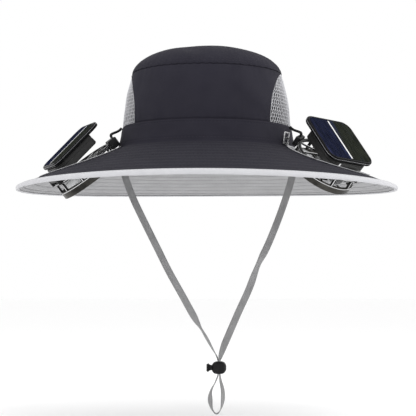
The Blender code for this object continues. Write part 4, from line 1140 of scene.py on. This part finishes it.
def stacked(name, outline, foot, profile, surface):
    """A solid through level outlines, closed at both ends; its profile is in millimetres, each
    row the outline's inset and its height over the foot."""
    vertices = []
    for inset, height in profile:
        vertices += [(x, y, foot + height * MM) for x, y in outline(inset * MM)]
    count = 4 * (CORNER_STEPS + 1)
    ends = [tuple(reversed(range(count))), tuple(range(len(vertices) - count, len(vertices)))]
    return from_faces(name, vertices, quads(len(profile), count) + ends, surface)


box_outline = rounded(BOX_NEAR, BOX_LENGTH, -BOX_HALF_WIDTH, BOX_HALF_WIDTH,
                      (BOX_ROUNDING, BOX_END_ROUNDING, BOX_END_ROUNDING, BOX_ROUNDING))
BOX_PROFILE = ((1.2, 0.0), (0.5, 0.25), (0.15, 0.7), (0.0, 1.3), (0.0, 6.4), (0.5, 6.5), (0.5, 7.0),
               (0.0, 7.1), (0.0, 9.7), (0.2, 10.3), (0.7, 10.6))
for suffix in UNIT_NAMES:
    pieces = [stacked("case", box_outline, BOX_LOW, BOX_PROFILE, box_plastic),
              block("web", (-BOX_NEAR - 2.0 * MM, -LUG_INNER + 0.3 * MM, BOX_LOW + 0.2 * MM),
                    (-1.7 * MM, LUG_INNER - 0.3 * MM, KNUCKLE_RADIUS - 0.3 * MM), 0.4 * MM, satin_black)]
    knuckle = turned_ring("knuckle", KNUCKLE_RADIUS, 1.4 * MM, -LUG_INNER + 0.3 * MM, LUG_INNER - 0.3 * MM,
                          0.4 * MM, satin_black, 40)
    knuckle.data.transform(Matrix.Rotation(math.pi / 2.0, 4, "X"))
    pieces.append(knuckle)
    if suffix == "right":
        pieces.append(block("strip", (-BOX_NEAR - 0.2 * MM, STRIP_Y - 1.0 * MM, BOX_LOW + 3.2 * MM),
                            (-BOX_NEAR + 0.2 * MM, STRIP_Y + 1.0 * MM, BOX_LOW + 9.8 * MM), 0.12 * MM,
                            nickel, 0.0, 1))
    fitted(f"battery_box_{suffix}", "case", pieces, panel_place(suffix), "black_plastic",
           f"panel_{suffix}", 30.0)


# Panel frame
# A shallow square tray of black plastic with generous corners. A thin bright line runs round its
# side, and its rim stands a little over the cells.
frame_plastic = Surface("panel_frame_plastic", (0.008, 0.008, 0.009), 0.35, Specular_IOR_Level=0.04)
frame_plastic.uneven(110.0, 0.2, 0.2)
frame_plastic.grain(1800.0, 0.03 * MM)
tray_line = Surface("panel_frame_line", (0.30, 0.30, 0.31), 0.3, 0.6)
tray_line.uneven(200.0, 0.2, 0.2)

tray_outline = rounded(PANEL_OVERHANG, PANEL_SIDE, -PANEL_SIDE / 2.0, PANEL_SIDE / 2.0, (PANEL_CORNER,) * 4)
TRAY_PROFILE = ((1.6, 0.0), (0.7, 0.2), (0.2, 0.8), (0.0, 1.6), (0.0, 2.9), (0.25, 3.6), (0.8, 4.1),
                (1.5, 4.4), (2.0, 4.35), (2.4, 4.1), (2.45, 3.5))
LINE_PROFILE = ((0.3, 2.6), (-0.1, 2.65), (-0.14, 2.8), (-0.02, 2.95), (0.3, 3.0))
for suffix in UNIT_NAMES:
    pieces = [stacked("tray", tray_outline, PANEL_LOW, TRAY_PROFILE, frame_plastic),
              stacked("bright_line", tray_outline, PANEL_LOW, LINE_PROFILE, tray_line)]
    fitted(f"panel_frame_{suffix}", "tray", pieces, panel_place(suffix), "black_plastic",
           f"panel_{suffix}", 50.0)


# Solar cells
# Two dark cells under clear film, with fine printed fingers across them and a silver bus bar
# between. On each panel the cell nearer the viewer's right is olive, and the other is blue.
CELL_EDGE = PANEL_RIM + 0.3 * MM
CELL_LOW = PANEL_HIGH - 0.6 * MM
CELL_PROFILE = ((0.0, 0.0), (0.0, 0.4), (0.1, 0.5))
CELL_CORNER = 0.3 * MM
BUS_BAR_WIDTH = 1.7 * MM
FINGER_PITCH = 2.3 * MM


def cell_surface(name, deep, pale, painted_glint):
    """Streaky silicon with thin silver fingers and patches of painted glint, on the cell's own measure."""
    made = Surface(name, deep, 0.25, Specular_IOR_Level=0.0)
    across, along = made.along()
    stretched = made.add("ShaderNodeCombineXYZ", {}, {0: across * 0.35, 1: along * 3.0, 2: 0.0})[0]
    streak = made.cloudy(190.0, 4.0, stretched)
    painted_highlight_mask = made.cloudy(42.0, 2.0, stretched)
    colour = made.blend((streak * 2.6 - 0.9).most(0.0).least(1.0), deep, pale)
    # Painted glint: bright blue patches are blended into the colour, and the cell's own specular is off.
    colour = made.blend((painted_highlight_mask * 5.0 - 2.7).most(0.0).least(1.0), colour, painted_glint)
    finger = ((along / FINGER_PITCH).fraction() - 0.5).size()
    made.feed("Base Color", made.blend((0.055 - finger).above(0.0) * 0.2, colour, (0.20, 0.21, 0.24)))
    made.feed("Roughness", streak * 0.2 + 0.16)
    return made


# The last colour of each cell is its painted glint.
cell_blue = cell_surface("cell_blue", (0.003, 0.004, 0.010), (0.013, 0.016, 0.042), (0.035, 0.045, 0.12))
cell_olive = cell_surface("cell_olive", (0.006, 0.007, 0.005), (0.027, 0.030, 0.020), (0.016, 0.022, 0.055))
silver_print = Surface("silver_print", (0.80, 0.80, 0.80), 0.4, 0.3)
silver_print.uneven(500.0, 0.3, 0.25)

CELL_NEAR = PANEL_OVERHANG + CELL_EDGE
CELL_LENGTH = PANEL_SIDE - 2.0 * CELL_EDGE
for suffix in UNIT_NAMES:
    half = BUS_BAR_WIDTH / 2.0
    gap = half + 0.3 * MM
    reach = PANEL_SIDE / 2.0 - CELL_EDGE
    corner = PANEL_CORNER - CELL_EDGE
    low_cell = (-reach, -gap, (corner, corner, CELL_CORNER, CELL_CORNER))
    high_cell = (gap, reach, (CELL_CORNER, CELL_CORNER, corner, corner))
    if suffix == "right":
        cells = (("front", cell_blue, low_cell), ("back", cell_olive, high_cell))
    else:
        cells = (("front", cell_olive, high_cell), ("back", cell_blue, low_cell))
    for label, surface, (low_y, high_y, radii) in cells:
        cell = stacked("cell", rounded(CELL_NEAR, CELL_LENGTH, low_y, high_y, radii), CELL_LOW,
                       CELL_PROFILE, surface)
        layer = cell.data.uv_layers.new(name="measure")
        for loop in cell.data.loops:
            layer.data[loop.index].uv = cell.data.vertices[loop.vertex_index].co.xy
        fitted(f"solar_cell_{label}_{suffix}", "face", [cell], panel_place(suffix), "cell_glass",
               f"panel_{suffix}", 30.0)
    bar = block("bar", (-CELL_NEAR - CELL_LENGTH + 1.0 * MM, -half, CELL_LOW),
                (-CELL_NEAR - 1.0 * MM, half, PANEL_HIGH - 0.05 * MM), 0.1 * MM, silver_print, 0.0, 1)
    fitted(f"bus_bar_{suffix}", "print", [bar], panel_place(suffix), "silver_print", f"panel_{suffix}")


# Clamp blocks, pins, keeper cords and buckle
# A black block clips to each cage beside the crown, and a black elastic cord holds it to the band's
# top seam. A steel pin carries each panel, and a nickel slotted buckle stands by the right unit.
elastic = Surface("black_elastic", (0.012, 0.012, 0.013), 0.7, Specular_IOR_Level=0.2)
elastic.bump(wave(elastic.split(elastic.place())[2], 1.1 * MM), 0.12 * MM)


def softened(node, ending, rounding, surface, slot, body="root", swell=0.0):
    """The CAD piece again, merged, with its edges rounded or its sides swollen."""
    data = frame["nodes"][node].data.copy()
    with opened(data) as mesh:
        bmesh.ops.remove_doubles(mesh, verts=mesh.verts, dist=0.001 * MM)
        bmesh.ops.dissolve_limit(mesh, angle_limit=math.radians(1.0), verts=mesh.verts, edges=mesh.edges)
        if rounding > 0.0:
            sharp = [edge for edge in mesh.edges if edge.calc_face_angle(0.0) > math.radians(32.0)]
            bmesh.ops.bevel(mesh, geom=sharp, offset=rounding, segments=2, profile=0.5, affect="EDGES",
                            clamp_overlap=True)
        mesh.normal_update()
        for vertex, direction in [(vertex, vertex.normal.copy()) for vertex in mesh.verts]:
            vertex.co += direction * swell
    data.materials.clear()
    data.materials.append(surface.material)
    return fitted(node, ending, [linked(node, data)], Matrix.Identity(4), slot, body)


for suffix in UNIT_NAMES:
    softened(f"ring_bracket_{suffix}", "block", 0.7 * MM, satin_black, "black_plastic")
    frame["nodes"][f"hinge_pin_{suffix}"].material_slots[0].material = nickel.material
    softened(f"keeper_cord_{suffix}", "elastic", 0.0, elastic, "black_cord", swell=0.4 * MM)
softened("slot_buckle_right", "plate", 0.25 * MM, nickel, "bright_metal")


# Cord lock
# A barrel of black plastic with a sprung plunger through it. The strap passes through both, and the
# plunger's end stands out for the thumb.
LOCK_HEIGHT = -216.6 * MM


def reshaped(piece, width_at):
    """Scales each cross section of a lock piece about the lock's own line."""
    with opened(piece.data) as mesh:
        bmesh.ops.triangulate(mesh, faces=mesh.faces)
        bmesh.ops.subdivide_edges(mesh, edges=mesh.edges, cuts=3, use_grid_fill=True)
        for vertex in mesh.verts:
            width = width_at(vertex.co.x)
            vertex.co.y *= width
            vertex.co.z = LOCK_HEIGHT + (vertex.co.z - LOCK_HEIGHT) * width


barrel = softened("toggle_barrel", "body", 0.5 * MM, satin_black, "black_plastic")
barrel_xs = [vertex.co.x for vertex in barrel.data.vertices]
barrel_middle = (min(barrel_xs) + max(barrel_xs)) / 2.0
barrel_half = (max(barrel_xs) - min(barrel_xs)) / 2.0
reshaped(barrel, lambda x: math.sqrt(1.0 - (0.93 * abs(x - barrel_middle) / barrel_half) ** 3))
plunger = softened("toggle_plunger", "stem", 0.3 * MM, satin_black, "black_plastic", "plunger")
plunger_low = min(vertex.co.x for vertex in plunger.data.vertices)
plunger_reach = barrel_middle - barrel_half - plunger_low


def waisted(x):
    """The stem's width: full at its end, narrow where it enters the barrel."""
    return 0.62 + 0.38 * min(max(1.0 - (x - plunger_low) / plunger_reach, 0.0), 1.0) ** 0.8


reshaped(plunger, waisted)
tuple(strap_centres[0])
[tuple(point) for point in strap_centres]


# Studio
# A wide pale floor under a white sky, a broad light above and in front, and a fill from each side.
FLOOR_HEIGHT = -0.2665
bpy.ops.mesh.primitive_plane_add(size=60.0, location=(0.0, 0.0, FLOOR_HEIGHT))
floor = bpy.context.object
floor.name = "studio_floor"
floor_paint = Surface("studio_floor_paint", (0.98, 0.98, 0.98), 0.9)
floor.data.materials.append(floor_paint.material)

world = bpy.data.worlds.new("studio_white")
world.use_nodes = True
world.node_tree.nodes["Background"].inputs[0].default_value = (1.0, 1.0, 1.0, 1.0)
world.node_tree.nodes["Background"].inputs[1].default_value = 1.0
bpy.context.scene.world = world
bpy.context.scene.view_settings.view_transform = "Standard"


def soft_light(name, place, size, power):
    data = bpy.data.lights.new(name, "AREA")
    data.size = size
    data.energy = power
    lamp = linked(name, data)
    lamp.location = place
    lamp.rotation_euler = Vector(place).to_track_quat("Z", "Y").to_euler()


soft_light("key_light", (0.5, -1.1, 1.5), 1.0, 9.0)
soft_light("side_light", (-1.4, -0.5, 0.6), 0.8, 3.0)
soft_light("rim_light", (1.3, 0.4, 0.7), 0.8, 5.0)
